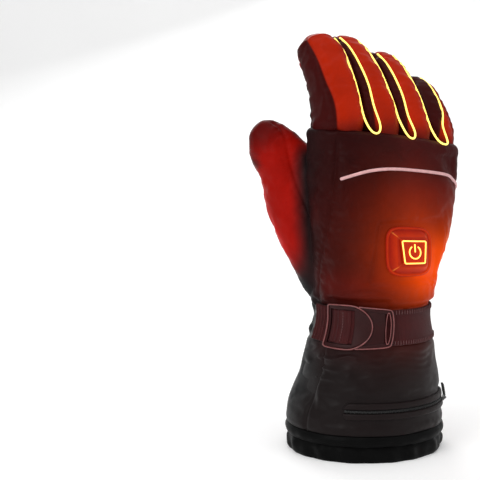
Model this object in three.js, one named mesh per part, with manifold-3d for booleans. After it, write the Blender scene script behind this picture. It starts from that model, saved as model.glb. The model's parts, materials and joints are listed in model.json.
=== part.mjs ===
// A padded, battery heated winter glove for the right hand, with a gauntlet cuff.
// Millimetres. +Z runs up from the hem to the fingertips, +X points to the little finger,
// -Y is the back of the hand and +Y the palm. The origin is where the hand goes in:
// the middle of the cuff's mouth, level with the lower edge of the hem.
import * as THREE from "three";
import { mergeVertices } from "three/addons/utils/BufferGeometryUtils.js";
import Module from "manifold-3d";

const wasm = await Module();
wasm.setup();
const { Manifold } = wasm;
const radians = THREE.MathUtils.degToRad;
const mix = THREE.MathUtils.lerp;
const vector = (x, y, z) => new THREE.Vector3(x, y, z);

// Heights, from the hem up
const SKIRT_HEIGHT = 12;
const ROLL_HEIGHT = 8;
const CUFF_HEIGHT = 66;
const WRIST_HEIGHT = 28;
const HAND_HEIGHT = 115;

// Widths and depths of the outside
const CUFF_WIDTH = 122;
const CUFF_DEPTH = 114;
const WRIST_WIDTH = 84;
const WRIST_DEPTH = 91;
const KNUCKLE_DEPTH = 42;

// How far the wrist and knuckles sit from the middle of the mouth, and how the knuckles
// fall away to the side and down towards the little finger
const WRIST_BACK = 6.5;
const KNUCKLE_BACK = 14;
const KNUCKLE_SHIFT = 9;
const KNUCKLE_ARCH = 7;
const KNUCKLE_SLOPE = 8;

// Walls and clearances
const PADDING = 3.6;
const CUFF_WALL = 2.6;
const HEM_WALL = 2.4;
const GAP = 0.3;
const ON_CLOTH = 0.45;
const FINGER_GAP = 1.2;

// Gathers and rolled edge
const SKIRT_GATHERS = 20;
const SKIRT_GATHER_DEPTH = 1.6;
const WRIST_GATHERS = 16;
const WRIST_GATHER_DEPTH = 2.2;
const ROLL_BULGE = 1.6;

// Fingers, from the thumb's side. Width and depth are the middle's, reach is the length of
// the bent middle line. curl is the bend towards the palm at the root and at the tip, lean
// the tilt towards the thumb, and edge the thumb's side edge of the back panel, in degrees.
const FINGERS = [
  { name: "index_finger", width: 32, depth: 30, reach: 84, curl: [0, 40], lean: [0, 7], edge: -40 },
  { name: "middle_finger", width: 30.5, depth: 30, reach: 99, curl: [8, 60], lean: [0, 0], edge: -20 },
  { name: "ring_finger", width: 29.5, depth: 29, reach: 88, curl: [8, 58], lean: [0, 0], edge: -18 },
  { name: "little_finger", width: 26.5, depth: 26, reach: 71, curl: [8, 62], lean: [0, -5], edge: 15 },
];
const FINGER_SQUARE = 2.7;
const FINGER_TIP = 0.8;

// Thumb: its middle line runs from the root through a bend to the tip. up is the height above
// the wrist.
const THUMB_ROOT = { x: -3, y: 2, up: 2 };
const THUMB_BEND = { x: -29, y: 14, up: 62 };
const THUMB_TIP = { x: -72, y: 40, up: 132 };
const THUMB_WIDTH = 84;
const THUMB_DEPTH = 34;
const THUMB_SQUARE = 2.3;
const THUMB_TIP_START = 0.84;

// Heating wire, piping and grip patch
const WIRE_DIAMETER = 1.4;
const PIPING_DIAMETER = 2.4;
const GRIP_THICKNESS = 1.0;
const GRIP_BOTTOM = 31;
const GRIP_TOP = 95;

// Badge with the power key. Its middle is across from the glove's middle and up from the
// wrist.
const BADGE_ACROSS = 1.5;
const BADGE_UP = 41;
const BADGE_WIDTH = 41;
const BADGE_HEIGHT = 36;
const BADGE_THICKNESS = 1.6;
const BADGE_RISE = 3.4;
const KEY_TOP_WIDTH = 21.5;
const KEY_BOTTOM_WIDTH = 18.5;
const KEY_HEIGHT = 18;
const KEY_THICKNESS = 0.9;
const LIGHT_WIDTH = 1.1;
const SYMBOL_RADIUS = 4.6;

// Wrist strap and ladder buckle. up is the strap's middle above the wrist's lower edge.
const STRAP_UP = 14;
const STRAP_HEIGHT = 26;
const STRAP_THICKNESS = 1.4;
const STRAP_FROM = -104;
const STRAP_TO = 84;
const BUCKLE_TURN = -50;
const BUCKLE_LENGTH = 50;
const BUCKLE_HEIGHT = 33;
const BUCKLE_THICKNESS = 2.2;
const BUCKLE_BAR = 3;
const BUCKLE_WINDOW = 19;
const BUCKLE_TONGUE = 12;
const BUCKLE_SLOT = 4;

// Pocket for the battery, on the cuff
const POCKET_UP = 18.6;
const POCKET_FROM = -52;
const POCKET_TO = 60;
const WELT_HEIGHT = 5;
const WELT_THICKNESS = 1.6;
const ZIP_WIDTH = 1.8;
const ZIP_THICKNESS = 0.9;
const SLIDER_TURN = 47;
const SLIDER_LENGTH = 7;
const SLIDER_HEIGHT = 4.2;
const SLIDER_THICKNESS = 1.6;
const PULL_LENGTH = 11;
const PULL_WIDTH = 5;
const PULL_THICKNESS = 2;

// Hem's drawcord with its lock, and the clip at the cuff's upper edge
const CORD_TURN = 115;
const CORD_DIAMETER = 2.5;
const LOCK_DIAMETER = 10;
const LOCK_HEIGHT = 13;
const PLUNGER_DIAMETER = 6;
const PLUNGER_HEIGHT = 3.5;
const LOOP_WIDTH = 6;
const LOOP_THICKNESS = 1.5;
const LOOP_HEIGHT = 28;
const CORD_END_LENGTH = 13;
const CORD_END_DIAMETER = 6;
const CLIP_TURN = 108;
const CLIP_WIRE = 3;
const CLIP_HEIGHT = 14;
const CLIP_REACH = 9;
const CLIP_LOOP_WIDTH = 8;

const CUFF_BOTTOM = SKIRT_HEIGHT + ROLL_HEIGHT;
const WRIST_BOTTOM = CUFF_BOTTOM + CUFF_HEIGHT;
const WRIST_TOP = WRIST_BOTTOM + WRIST_HEIGHT;
const KNUCKLE_LINE = WRIST_TOP + HAND_HEIGHT;
const KNUCKLE_WIDTH =
  FINGERS.reduce((sum, finger) => sum + finger.width, 0) + FINGER_GAP * (FINGERS.length - 1);

// The outline of each stretch. at is the share of the stretch's height, spread and swell
// how far the width and depth have gone from the wrist's to the far end's, back the share
// of the wrist's set-back, and gather the share of the gathers' depth.
const CUFF_ROWS = [
  { at: 0.0, spread: 1.0, swell: 1.0, back: 0.0 },
  { at: 0.2, spread: 0.95, swell: 0.93, back: 0.02 },
  { at: 0.4, spread: 0.81, swell: 0.64, back: 0.25 },
  { at: 0.58, spread: 0.64, swell: 0.34, back: 0.6 },
  { at: 0.78, spread: 0.44, swell: 0.14, back: 0.85 },
  { at: 1.0, spread: 0.25, swell: 0.07, back: 0.97 },
];
const WRIST_ROWS = [
  { at: 0.0, spread: 0.25, swell: 0.07, back: 0.97, gather: 0.2 },
  { at: 0.22, spread: 0.14, swell: 0.04, back: 1.0, gather: 1.0 },
  { at: 0.44, spread: 0.05, swell: 0.01, back: 1.0, gather: 0.1 },
  { at: 0.64, spread: 0.0, swell: 0.0, back: 1.0, gather: 0.1 },
  { at: 0.84, spread: 0.0, swell: 0.0, back: 1.0, gather: 0.9 },
  { at: 1.0, spread: 0.01, swell: 0.0, back: 1.0, gather: 0.2 },
];
const HAND_ROWS = [
  { at: 0.0, spread: 0.01, swell: 0.0, lean: 0.0, arch: 0.0, square: 2.0 },
  { at: 0.12, spread: 0.13, swell: 0.02, lean: 0.08, arch: 0.0, square: 2.0 },
  { at: 0.3, spread: 0.42, swell: 0.13, lean: 0.3, arch: 0.1, square: 2.1 },
  { at: 0.52, spread: 0.67, swell: 0.32, lean: 0.55, arch: 0.35, square: 2.4 },
  { at: 0.72, spread: 0.82, swell: 0.56, lean: 0.75, arch: 0.65, square: 2.8 },
  { at: 0.88, spread: 0.93, swell: 0.8, lean: 0.9, arch: 0.85, square: 3.4 },
  { at: 1.0, spread: 1.0, swell: 1.0, lean: 1.0, arch: 1.0, square: 4.0 },
];

// Broad dents and puffs of the cloth. turn is the place round the body in degrees, at the
// share of the height from the hem to the knuckle line, wide and tall the half sizes in
// degrees and as a share of that height, and push the depth as a share of the padding.
const DENTS = [
  { turn: -96, at: 0.2, wide: 18, tall: 0.05, push: -0.9 },
  { turn: -116, at: 0.3, wide: 16, tall: 0.045, push: 0.5 },
  { turn: 92, at: 0.27, wide: 22, tall: 0.05, push: -0.7 },
  { turn: 200, at: 0.57, wide: 30, tall: 0.05, push: -0.8 },
  { turn: 150, at: 0.58, wide: 40, tall: 0.05, push: -0.5 },
  { turn: -20, at: 0.27, wide: 44, tall: 0.05, push: 0.4 },
];

// Value of a column of a table at a share, on a smooth curve through its rows.
function smooth(rows, key, at) {
  let i = 0;
  while (i < rows.length - 2 && at > rows[i + 1].at) i += 1;
  const slope = (k) => {
    const a = rows[Math.max(k - 1, 0)];
    const b = rows[Math.min(k + 1, rows.length - 1)];
    return (b[key] - a[key]) / (b.at - a.at);
  };
  const span = rows[i + 1].at - rows[i].at;
  const t = (at - rows[i].at) / span;
  const start = rows[i][key] * (2 * t ** 3 - 3 * t ** 2 + 1) + slope(i) * span * (t ** 3 - 2 * t ** 2 + t);
  return start + rows[i + 1][key] * (3 * t ** 2 - 2 * t ** 3) + slope(i + 1) * span * (t ** 3 - t ** 2);
}

const signedPower = (value, power) => Math.sign(value) * Math.abs(value) ** power;

// Cross-section of the glove's body at a height.
function bodySection(z) {
  const section = { x: 0, arch: 0, slope: 0, square: 2 };
  if (z <= WRIST_TOP) {
    const [rows, at] =
      z <= WRIST_BOTTOM
        ? [CUFF_ROWS, Math.max(0, (z - CUFF_BOTTOM) / CUFF_HEIGHT)]
        : [WRIST_ROWS, (z - WRIST_BOTTOM) / WRIST_HEIGHT];
    section.width = mix(WRIST_WIDTH, CUFF_WIDTH, smooth(rows, "spread", at)) / 2;
    section.depth = mix(WRIST_DEPTH, CUFF_DEPTH, smooth(rows, "swell", at)) / 2;
    section.y = -WRIST_BACK * smooth(rows, "back", at);
  } else {
    const at = Math.min(1, (z - WRIST_TOP) / HAND_HEIGHT);
    const lean = smooth(HAND_ROWS, "lean", at);
    section.x = KNUCKLE_SHIFT * lean;
    section.y = -mix(WRIST_BACK, KNUCKLE_BACK, lean);
    section.width = mix(WRIST_WIDTH, KNUCKLE_WIDTH, smooth(HAND_ROWS, "spread", at)) / 2;
    section.depth = mix(WRIST_DEPTH, KNUCKLE_DEPTH, smooth(HAND_ROWS, "swell", at)) / 2;
    section.square = smooth(HAND_ROWS, "square", at);
    section.arch = KNUCKLE_ARCH * smooth(HAND_ROWS, "arch", at);
    section.slope = KNUCKLE_SLOPE * lean;
  }
  return section;
}

function dentAt(z, turn) {
  return DENTS.reduce((sum, dent) => {
    const away = turn - radians(dent.turn);
    const across = Math.atan2(Math.sin(away), Math.cos(away)) / radians(dent.wide);
    const up = (z / KNUCKLE_LINE - dent.at) / dent.tall;
    return sum + PADDING * dent.push * Math.exp(-across * across - up * up);
  }, 0);
}

// Point of the body's outside. turn is 0 at the back of the hand and grows towards the
// little finger, in radians; lift moves the point outwards.
function bodyPoint(z, turn, lift = 0) {
  const section = bodySection(z);
  const power = 2 / section.square;
  const out = lift + dentAt(z, turn);
  const across = signedPower(Math.sin(turn), power) * (section.width + out);
  const deep = -signedPower(Math.cos(turn), power) * (section.depth + out);
  const share = across / section.width;
  return vector(
    section.x + across,
    section.y + deep + section.arch * share * share,
    z - section.slope * share,
  );
}

// Point on the back of the hand at a place across it.
function backPoint(x, z, lift) {
  const section = bodySection(z);
  const share = (x - section.x) / section.width;
  return bodyPoint(z, Math.asin(signedPower(share, section.square / 2)), lift);
}

// Places a point round a middle on the body: along is the way round towards the little
// finger and up the way to the fingertips, in millimetres.
function onBody(turnDegrees, z) {
  const middle = bodySection(z);
  const radius = (middle.width + middle.depth) / 2;
  return (along, up, lift) => bodyPoint(z + up, radians(turnDegrees) + along / radius, lift);
}

// A closed solid of a geometry, with its faces turned out.
function fromGeometry(geometry) {
  geometry.deleteAttribute("normal");
  geometry.deleteAttribute("uv");
  const merged = mergeVertices(geometry, 1e-4);
  const positions = merged.attributes.position.array;
  const faces = new Uint32Array(merged.index.array);
  const corner = (i) => vector(positions[3 * i], positions[3 * i + 1], positions[3 * i + 2]);
  let volume = 0;
  for (let i = 0; i < faces.length; i += 3) {
    volume += corner(faces[i]).dot(corner(faces[i + 1]).cross(corner(faces[i + 2])));
  }
  if (volume < 0) {
    for (let i = 0; i < faces.length; i += 3) [faces[i], faces[i + 1]] = [faces[i + 1], faces[i]];
  }
  return new Manifold(new wasm.Mesh({ numProp: 3, vertProperties: positions, triVerts: faces }));
}

function toSolid(points, faces) {
  const positions = new THREE.Float32BufferAttribute(points.flatMap((p) => p.toArray()), 3);
  return fromGeometry(new THREE.BufferGeometry().setAttribute("position", positions).setIndex(faces));
}

// Faces between one ring of points and the next, all rings having count points.
function skinFaces(count, from, to) {
  const faces = [];
  for (let j = 0; j < count; j += 1) {
    const next = (j + 1) % count;
    faces.push(from + j, from + next, to + next, from + j, to + next, to + j);
  }
  return faces;
}

// Rings of equally many points, skinned from the first to the last and closed at both ends.
function loft(rings) {
  const count = rings[0].length;
  const points = rings.flat();
  const faces = rings.slice(1).flatMap((_, i) => skinFaces(count, i * count, (i + 1) * count));
  const middleOf = (ring) => ring.reduce((sum, p) => sum.add(p), vector(0, 0, 0)).divideScalar(count);
  const bottom = points.push(middleOf(rings[0])) - 1;
  const top = points.push(middleOf(rings[rings.length - 1])) - 1;
  const last = (rings.length - 1) * count;
  for (let j = 0; j < count; j += 1) {
    const next = (j + 1) % count;
    faces.push(bottom, next, j, top, last + j, last + next);
  }
  return toSolid(points, faces);
}

// Sections of equally many points, skinned round a closed loop.
function hoop(sections) {
  const count = sections[0].length;
  const faces = sections.flatMap((_, i) => skinFaces(count, i * count, ((i + 1) % sections.length) * count));
  return toSolid(sections.flat(), faces);
}

// A thin sheet that follows a surface. at gives the point for a share along, a share up
// and a lift.
function sheet(alongSteps, upSteps, at, inner, outer) {
  const rings = [];
  for (let i = 0; i <= alongSteps; i += 1) {
    const ring = [];
    for (let j = 0; j <= upSteps; j += 1) ring.push(at(i / alongSteps, j / upSteps, inner));
    for (let j = upSteps; j >= 0; j -= 1) ring.push(at(i / alongSteps, j / upSteps, outer));
    rings.push(ring);
  }
  const count = 2 * (upSteps + 1);
  const end = alongSteps * count;
  const faces = rings.slice(1).flatMap((_, i) => skinFaces(count, i * count, (i + 1) * count));
  for (let j = 0; j < upSteps; j += 1) {
    const [a, b, c, d] = [j, j + 1, count - 2 - j, count - 1 - j];
    faces.push(a, c, b, a, d, c, end + a, end + b, end + c, end + a, end + c, end + d);
  }
  return toSolid(rings.flat(), faces);
}

// A tube along a smooth curve through points.
function tube(points, diameter, sides, steps) {
  const section = new THREE.Shape();
  for (let i = 0; i < sides; i += 1) {
    const turn = (i / sides) * 2 * Math.PI;
    const [x, y] = [(Math.cos(turn) * diameter) / 2, (Math.sin(turn) * diameter) / 2];
    if (i === 0) section.moveTo(x, y);
    else section.lineTo(x, y);
  }
  section.closePath();
  const extrudePath = new THREE.CatmullRomCurve3(points, false, "centripetal");
  return fromGeometry(new THREE.ExtrudeGeometry(section, { steps, extrudePath, bevelEnabled: false }));
}

// A strip of webbing along points, with its width along side.
function strip(points, side, width, thickness) {
  const curve = new THREE.CatmullRomCurve3(points, false, "centripetal");
  const steps = 8;
  const rings = [];
  for (let i = 0; i <= steps; i += 1) {
    const out = vector(0, 0, 0).crossVectors(curve.getTangent(i / steps), side).normalize();
    const middle = curve.getPoint(i / steps);
    const corner = (a, b) =>
      middle.clone().addScaledVector(side, (a * width) / 2).addScaledVector(out, (b * thickness) / 2);
    rings.push([corner(-1, -1), corner(1, -1), corner(1, 1), corner(-1, 1)]);
  }
  return loft(rings);
}

const subtractAll = (solid, cutters) => cutters.reduce((left, cutter) => left.subtract(cutter), solid);
const joinAll = (solids) => solids.reduce((sum, solid) => sum.add(solid));

// The body between two heights, lifted out or in. extra adds to the lift.
const BODY_SIDES = 36;
const LINING_SIDES = 20;
function bodyLoft(bottom, top, lift, steps, sides, extra = () => 0) {
  const rings = [];
  for (let i = 0; i <= steps; i += 1) {
    const ring = [];
    for (let j = 0; j < sides; j += 1) {
      const turn = (j / sides) * 2 * Math.PI;
      ring.push(bodyPoint(mix(bottom, top, i / steps), turn, lift + extra(i / steps, turn)));
    }
    rings.push(ring);
  }
  return loft(rings);
}

// Fingers. width and depth are shares of the finger's own.
const FINGER_ROWS = [
  { at: 0.0, width: 1.0, depth: 1.27 },
  { at: 0.2, width: 1.0, depth: 1.14 },
  { at: 0.45, width: 0.98, depth: 0.97 },
  { at: 0.75, width: 0.94, depth: 0.87 },
  { at: 1.0, width: 0.84, depth: 0.7 },
];
const TIP_STEPS = [0.45, 0.78, 0.98];
const TIP_ROUNDNESS = 2.4;

// Share of the size left where a tip rounds off.
function tipRound(share, start) {
  const past = Math.min(1, Math.max(0, (share - start) / (1 - start)));
  return (1 - past ** TIP_ROUNDNESS) ** (1 / TIP_ROUNDNESS);
}

// The middle of a finger's root.
function fingerRoot(index) {
  const before = FINGERS.slice(0, index).reduce((sum, finger) => sum + finger.width + FINGER_GAP, 0);
  const across = before + FINGERS[index].width / 2 - KNUCKLE_WIDTH / 2;
  const share = across / (KNUCKLE_WIDTH / 2);
  const spare = (KNUCKLE_DEPTH - FINGERS[index].depth * FINGER_ROWS[0].depth) / 2;
  return vector(
    KNUCKLE_SHIFT + across,
    -KNUCKLE_BACK + KNUCKLE_ARCH * share * share - spare / 2,
    KNUCKLE_LINE - KNUCKLE_SLOPE * share,
  );
}

function fingerHeading(finger, share) {
  const curl = radians(mix(finger.curl[0], finger.curl[1], Math.max(share, 0)));
  const lean = radians(mix(finger.lean[0], finger.lean[1], Math.max(share, 0)));
  return vector(-Math.sin(lean), Math.sin(curl) * Math.cos(lean), Math.cos(curl) * Math.cos(lean));
}

// Point of a finger's outside. turn is 0 at its back and grows towards the little finger.
function fingerPoint(index, share, turn, lift = 0) {
  const finger = FINGERS[index];
  const pieces = 16;
  const far = share > 0 ? share * (1 + lift / finger.reach) : share;
  const stride = (far * finger.reach) / pieces;
  const point = fingerRoot(index);
  for (let i = 0; i < pieces; i += 1) {
    point.addScaledVector(fingerHeading(finger, (far * (i + 0.5)) / pieces), stride);
  }
  const along = fingerHeading(finger, far);
  const side = vector(1, 0, 0).addScaledVector(along, -along.x).normalize();
  const back = vector(0, 0, 0).crossVectors(side, along).normalize();
  const at = Math.min(Math.max(share, 0), 1);
  const round = tipRound(share, FINGER_TIP);
  const width = ((finger.width / 2) * smooth(FINGER_ROWS, "width", at) + lift) * round;
  const depth = ((finger.depth / 2) * smooth(FINGER_ROWS, "depth", at) + lift) * round;
  const power = 2 / FINGER_SQUARE;
  return point
    .addScaledVector(side, signedPower(Math.sin(turn), power) * width)
    .addScaledVector(back, signedPower(Math.cos(turn), power) * depth);
}

function tipLoft(steps, sides, start, first, at) {
  const shares = [...first];
  for (let i = 0; i <= steps; i += 1) shares.push((i / steps) * start);
  TIP_STEPS.forEach((t) => shares.push(mix(start, 1, t)));
  return loft(shares.map((share) => Array.from({ length: sides }, (_, j) => at(share, (j / sides) * 2 * Math.PI))));
}

function fingerLoft(index, lift, steps, sides, sink) {
  const { reach } = FINGERS[index];
  return tipLoft(steps, sides, FINGER_TIP, [-sink / reach], (share, turn) => fingerPoint(index, share, turn, lift));
}

// Thumb. width and depth are shares of the thumb's own.
const THUMB_ROWS = [
  { at: 0.0, width: 0.7, depth: 0.8 },
  { at: 0.2, width: 0.8, depth: 0.95 },
  { at: 0.4, width: 0.82, depth: 1.0 },
  { at: 0.6, width: 0.71, depth: 0.98 },
  { at: 0.8, width: 0.48, depth: 0.9 },
  { at: 1.0, width: 0.32, depth: 0.76 },
];
const toVector = ({ x, y, up }) => vector(x, y, WRIST_TOP + up);
const thumbLine = new THREE.QuadraticBezierCurve3(toVector(THUMB_ROOT), toVector(THUMB_BEND), toVector(THUMB_TIP));
const thumbOutward = toVector(THUMB_TIP).sub(toVector(THUMB_ROOT)).setZ(0).normalize();

// Point of the thumb's outside. turn is 0 at its back and grows away from the hand.
function thumbPoint(share, turn, lift = 0) {
  const far = share * (1 + lift / thumbLine.getLength());
  const along = thumbLine.getTangent(far);
  const out = thumbOutward.clone().addScaledVector(along, -along.dot(thumbOutward)).normalize();
  const back = vector(0, 0, 0).crossVectors(along, out).normalize();
  const round = tipRound(share, THUMB_TIP_START);
  const width = ((THUMB_WIDTH / 2) * smooth(THUMB_ROWS, "width", share) + lift) * round;
  const depth = ((THUMB_DEPTH / 2) * smooth(THUMB_ROWS, "depth", share) + lift) * round;
  const power = 2 / THUMB_SQUARE;
  return thumbLine
    .getPoint(far)
    .addScaledVector(out, signedPower(Math.sin(turn), power) * width)
    .addScaledVector(back, signedPower(Math.cos(turn), power) * depth);
}

const thumbLoft = (lift, steps, sides) =>
  tipLoft(steps, sides, THUMB_TIP_START, [], (share, turn) => thumbPoint(share, turn, lift));

// Everything below the knuckle line, which tilts with the knuckles' slope.
function belowKnuckles(lift) {
  const reach = 2 * KNUCKLE_WIDTH;
  const fall = (x) => (KNUCKLE_SLOPE * (x - KNUCKLE_SHIFT)) / (KNUCKLE_WIDTH / 2);
  const corners = [
    [-reach, -reach],
    [reach, -reach],
    [reach, reach],
    [-reach, reach],
  ];
  return loft([
    corners.map(([x, y]) => vector(x, y, -reach)),
    corners.map(([x, y]) => vector(x, y, KNUCKLE_LINE + lift - fall(x))),
  ]);
}

// Shell of the hand
const fingerLinings = FINGERS.map((_, i) => fingerLoft(i, -PADDING, 3, 10, PADDING * 3));
const thumbLining = thumbLoft(-PADDING, 5, 12);
const HAND_STEPS = 8;
const hand = subtractAll(bodyLoft(WRIST_TOP + GAP, KNUCKLE_LINE, 0, HAND_STEPS, BODY_SIDES), [
  bodyLoft(WRIST_TOP - PADDING, KNUCKLE_LINE - PADDING, -PADDING, 6, LINING_SIDES),
  ...fingerLinings,
  thumbLining,
]);
const fingers = FINGERS.map((_, i) =>
  fingerLoft(i, 0, 5, 16, PADDING).subtract(fingerLinings[i]).subtract(belowKnuckles(GAP)),
);
const thumb = subtractAll(thumbLoft(0, 7, 18), [
  thumbLining,
  bodyLoft(WRIST_TOP + GAP, KNUCKLE_LINE, GAP, HAND_STEPS, BODY_SIDES),
  bodyLoft(WRIST_BOTTOM, WRIST_TOP + 2 * GAP, WRIST_GATHER_DEPTH, 5, BODY_SIDES),
]);

// Gathered wrist. The gathers lie on the palm's side, between the strap's ends.
const wristGather = (at, turn) => {
  const palm = Math.max(0, -Math.cos(turn) - Math.abs(Math.cos(radians(STRAP_FROM)))) ** 0.5;
  return WRIST_GATHER_DEPTH * smooth(WRIST_ROWS, "gather", at) * palm * Math.sin(WRIST_GATHERS * turn);
};
const wristInside = -PADDING - WRIST_GATHER_DEPTH / 2;
const wrist = bodyLoft(WRIST_BOTTOM + GAP, WRIST_TOP, 0, 5, WRIST_GATHERS * 4, wristGather).subtract(
  bodyLoft(WRIST_BOTTOM - PADDING, WRIST_TOP + PADDING, wristInside, 4, LINING_SIDES),
);

// Cuff, rolled hem and gathered edge
const cuff = bodyLoft(CUFF_BOTTOM + GAP, WRIST_BOTTOM, 0, 6, BODY_SIDES).subtract(
  bodyLoft(CUFF_BOTTOM - GAP, WRIST_BOTTOM + PADDING, -CUFF_WALL, 5, LINING_SIDES),
);
const hemInside = bodyLoft(-GAP, CUFF_BOTTOM + PADDING, -HEM_WALL - SKIRT_GATHER_DEPTH / 2, 1, LINING_SIDES);
const roll = bodyLoft(
  SKIRT_HEIGHT + GAP,
  CUFF_BOTTOM,
  0,
  3,
  BODY_SIDES,
  (at) => ROLL_BULGE * Math.sin(Math.PI * at),
).subtract(hemInside);
const skirtGather = (at, turn) =>
  SKIRT_GATHER_DEPTH * (0.3 + 0.5 * Math.sin(Math.PI * at)) * Math.sin(SKIRT_GATHERS * turn + 3 * at);
const skirt = bodyLoft(0, SKIRT_HEIGHT, 0, 3, SKIRT_GATHERS * 4, skirtGather).subtract(hemInside);

// Grip patch on the palm. from and to are its side edges in degrees.
const GRIP_ROWS = [
  { at: 0.0, from: 128, to: 183 },
  { at: 0.35, from: 122, to: 184 },
  { at: 0.65, from: 116, to: 188 },
  { at: 1.0, from: 112, to: 197 },
];
function gripPoint(along, up, lift) {
  const turn = mix(smooth(GRIP_ROWS, "from", up), smooth(GRIP_ROWS, "to", up), along);
  return bodyPoint(WRIST_TOP + mix(GRIP_BOTTOM, GRIP_TOP, up), radians(turn), lift);
}
const grip = sheet(9, 6, gripPoint, ON_CLOTH, ON_CLOTH + GRIP_THICKNESS).subtract(thumbLoft(GAP, 7, 18));

// Reflective piping over the knuckles. rise is a share of the hand's height.
const PIPING_ROWS = [
  { at: 0.0, rise: 0.775 },
  { at: 0.25, rise: 0.845 },
  { at: 0.5, rise: 0.865 },
  { at: 0.75, rise: 0.84 },
  { at: 1.0, rise: 0.75 },
];
const PIPING_FROM = -56;
const PIPING_TO = 78;
const pipingPoints = Array.from({ length: 15 }, (_, i) => {
  const z = WRIST_TOP + HAND_HEIGHT * smooth(PIPING_ROWS, "rise", i / 14);
  return bodyPoint(z, radians(mix(PIPING_FROM, PIPING_TO, i / 14)), PIPING_DIAMETER / 2 + ON_CLOTH);
});
const piping = tube(pipingPoints, PIPING_DIAMETER, 6, 14);

// Heating wire along the facing edges of two fingers and round the crotch between them. Over
// the root it swings from the finger's side to the edge of its back panel.
const WIRE_SHARES = [0.86, 0.7, 0.56, 0.44, 0.34, 0.25];
const WIRE_TURN = 40;
const WIRE_SWING = 0.4;
const WIRE_RISE = 6.5;
const WIRE_SHOULDER = 5;
const wireLift = WIRE_DIAMETER / 2 + ON_CLOTH + GAP;
function crotchWire(index) {
  const arm = (finger, root, edge) =>
    WIRE_SHARES.map((share) => {
      const turn = mix(root, edge, Math.min(1, share / WIRE_SWING));
      return fingerPoint(finger, share, radians(turn), wireLift);
    });
  const down = arm(index, WIRE_TURN, WIRE_TURN);
  const up = arm(index + 1, -WIRE_TURN, FINGERS[index + 1].edge);
  const [from, to] = [down[down.length - 1].x, up[up.length - 1].x];
  const above = (x, rise) => backPoint(x, KNUCKLE_LINE, wireLift + ON_CLOTH).add(vector(0, 0, rise));
  const shoulder = WIRE_RISE + WIRE_SHOULDER;
  const dip = [above(from, shoulder), above((from + to) / 2, WIRE_RISE), above(to, shoulder)];
  return tube([...down, ...dip, ...up.reverse()], WIRE_DIAMETER, 5, 30);
}
const wires = [0, 1, 2].map(crotchWire);

// Badge with a raised middle. size is a share of the badge's, rise of its height.
const BADGE_ROWS = [
  { size: 0.2, base: 0, rise: 0 },
  { size: 0.6, base: 0, rise: 0 },
  { size: 1.0, base: 0, rise: 0 },
  { size: 1.0, base: 1, rise: 0 },
  { size: 0.86, base: 1, rise: 0 },
  { size: 0.82, base: 1, rise: 0.3 },
  { size: 0.64, base: 1, rise: 1 },
  { size: 0.2, base: 1, rise: 1 },
];
const BADGE_SQUARE = 4;
const badgePlace = (along, up, lift) => backPoint(BADGE_ACROSS + along, WRIST_TOP + BADGE_UP + up, lift);
const badge = loft(
  BADGE_ROWS.map(({ size, base, rise }) =>
    Array.from({ length: 24 }, (_, i) => {
      const turn = (i / 24) * 2 * Math.PI;
      const along = signedPower(Math.cos(turn), 2 / BADGE_SQUARE) * (BADGE_WIDTH / 2) * size;
      const up = signedPower(Math.sin(turn), 2 / BADGE_SQUARE) * (BADGE_HEIGHT / 2) * size;
      return badgePlace(along, up, ON_CLOTH + mix(base * BADGE_THICKNESS, BADGE_RISE, rise));
    }),
  ),
);

// Power key, wider at its top, with a lit outline and power symbol
function lightLine(inset) {
  const [top, bottom, half] = [KEY_TOP_WIDTH / 2 - inset, KEY_BOTTOM_WIDTH / 2 - inset, KEY_HEIGHT / 2 - inset];
  const middle = (top + bottom) / 2;
  return [
    [-bottom, -half],
    [0, -half],
    [bottom, -half],
    [middle, 0],
    [top, half],
    [0, half],
    [-top, half],
    [-middle, 0],
  ];
}
const keyLow = ON_CLOTH + BADGE_RISE + 2 * GAP;
const keyHigh = keyLow + KEY_THICKNESS;
const keyPlace = (along, up, lift) =>
  badgePlace((along - 0.5) * mix(KEY_BOTTOM_WIDTH, KEY_TOP_WIDTH, up), (up - 0.5) * KEY_HEIGHT, lift);
const key = sheet(6, 2, keyPlace, keyLow, keyHigh);
const lightLow = keyHigh + 2 * GAP;
const lightHigh = lightLow + LIGHT_WIDTH / 2;
const innerLine = lightLine(LIGHT_WIDTH * 1.4);
const lightFrame = hoop(
  lightLine(LIGHT_WIDTH * 0.4).map(([along, up], i) => [
    badgePlace(along, up, lightLow),
    badgePlace(along, up, lightHigh),
    badgePlace(...innerLine[i], lightHigh),
    badgePlace(...innerLine[i], lightLow),
  ]),
);
const SYMBOL_OPENING = 36;
const symbolPlace = (along, up) => badgePlace(along, up, lightLow + LIGHT_WIDTH * 0.7);
const arcPoints = Array.from({ length: 13 }, (_, i) => {
  const turn = radians(90 + mix(SYMBOL_OPENING, 360 - SYMBOL_OPENING, i / 12));
  return symbolPlace(SYMBOL_RADIUS * Math.cos(turn), SYMBOL_RADIUS * Math.sin(turn));
});
const symbolArc = tube(arcPoints, LIGHT_WIDTH, 5, 16);
const symbolBar = tube([0.1, 0.6, 1.2].map((share) => symbolPlace(0, share * SYMBOL_RADIUS)), LIGHT_WIDTH, 5, 2);

// Strap across the back of the wrist
const strapMiddle = WRIST_BOTTOM + STRAP_UP;
const strapPoint = (along, up, lift) =>
  bodyPoint(strapMiddle + (up - 0.5) * STRAP_HEIGHT, radians(mix(STRAP_FROM, STRAP_TO, along)), lift);
const strapTop = ON_CLOTH + STRAP_THICKNESS;
const strap = sheet(24, 2, strapPoint, ON_CLOTH, strapTop);

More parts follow.
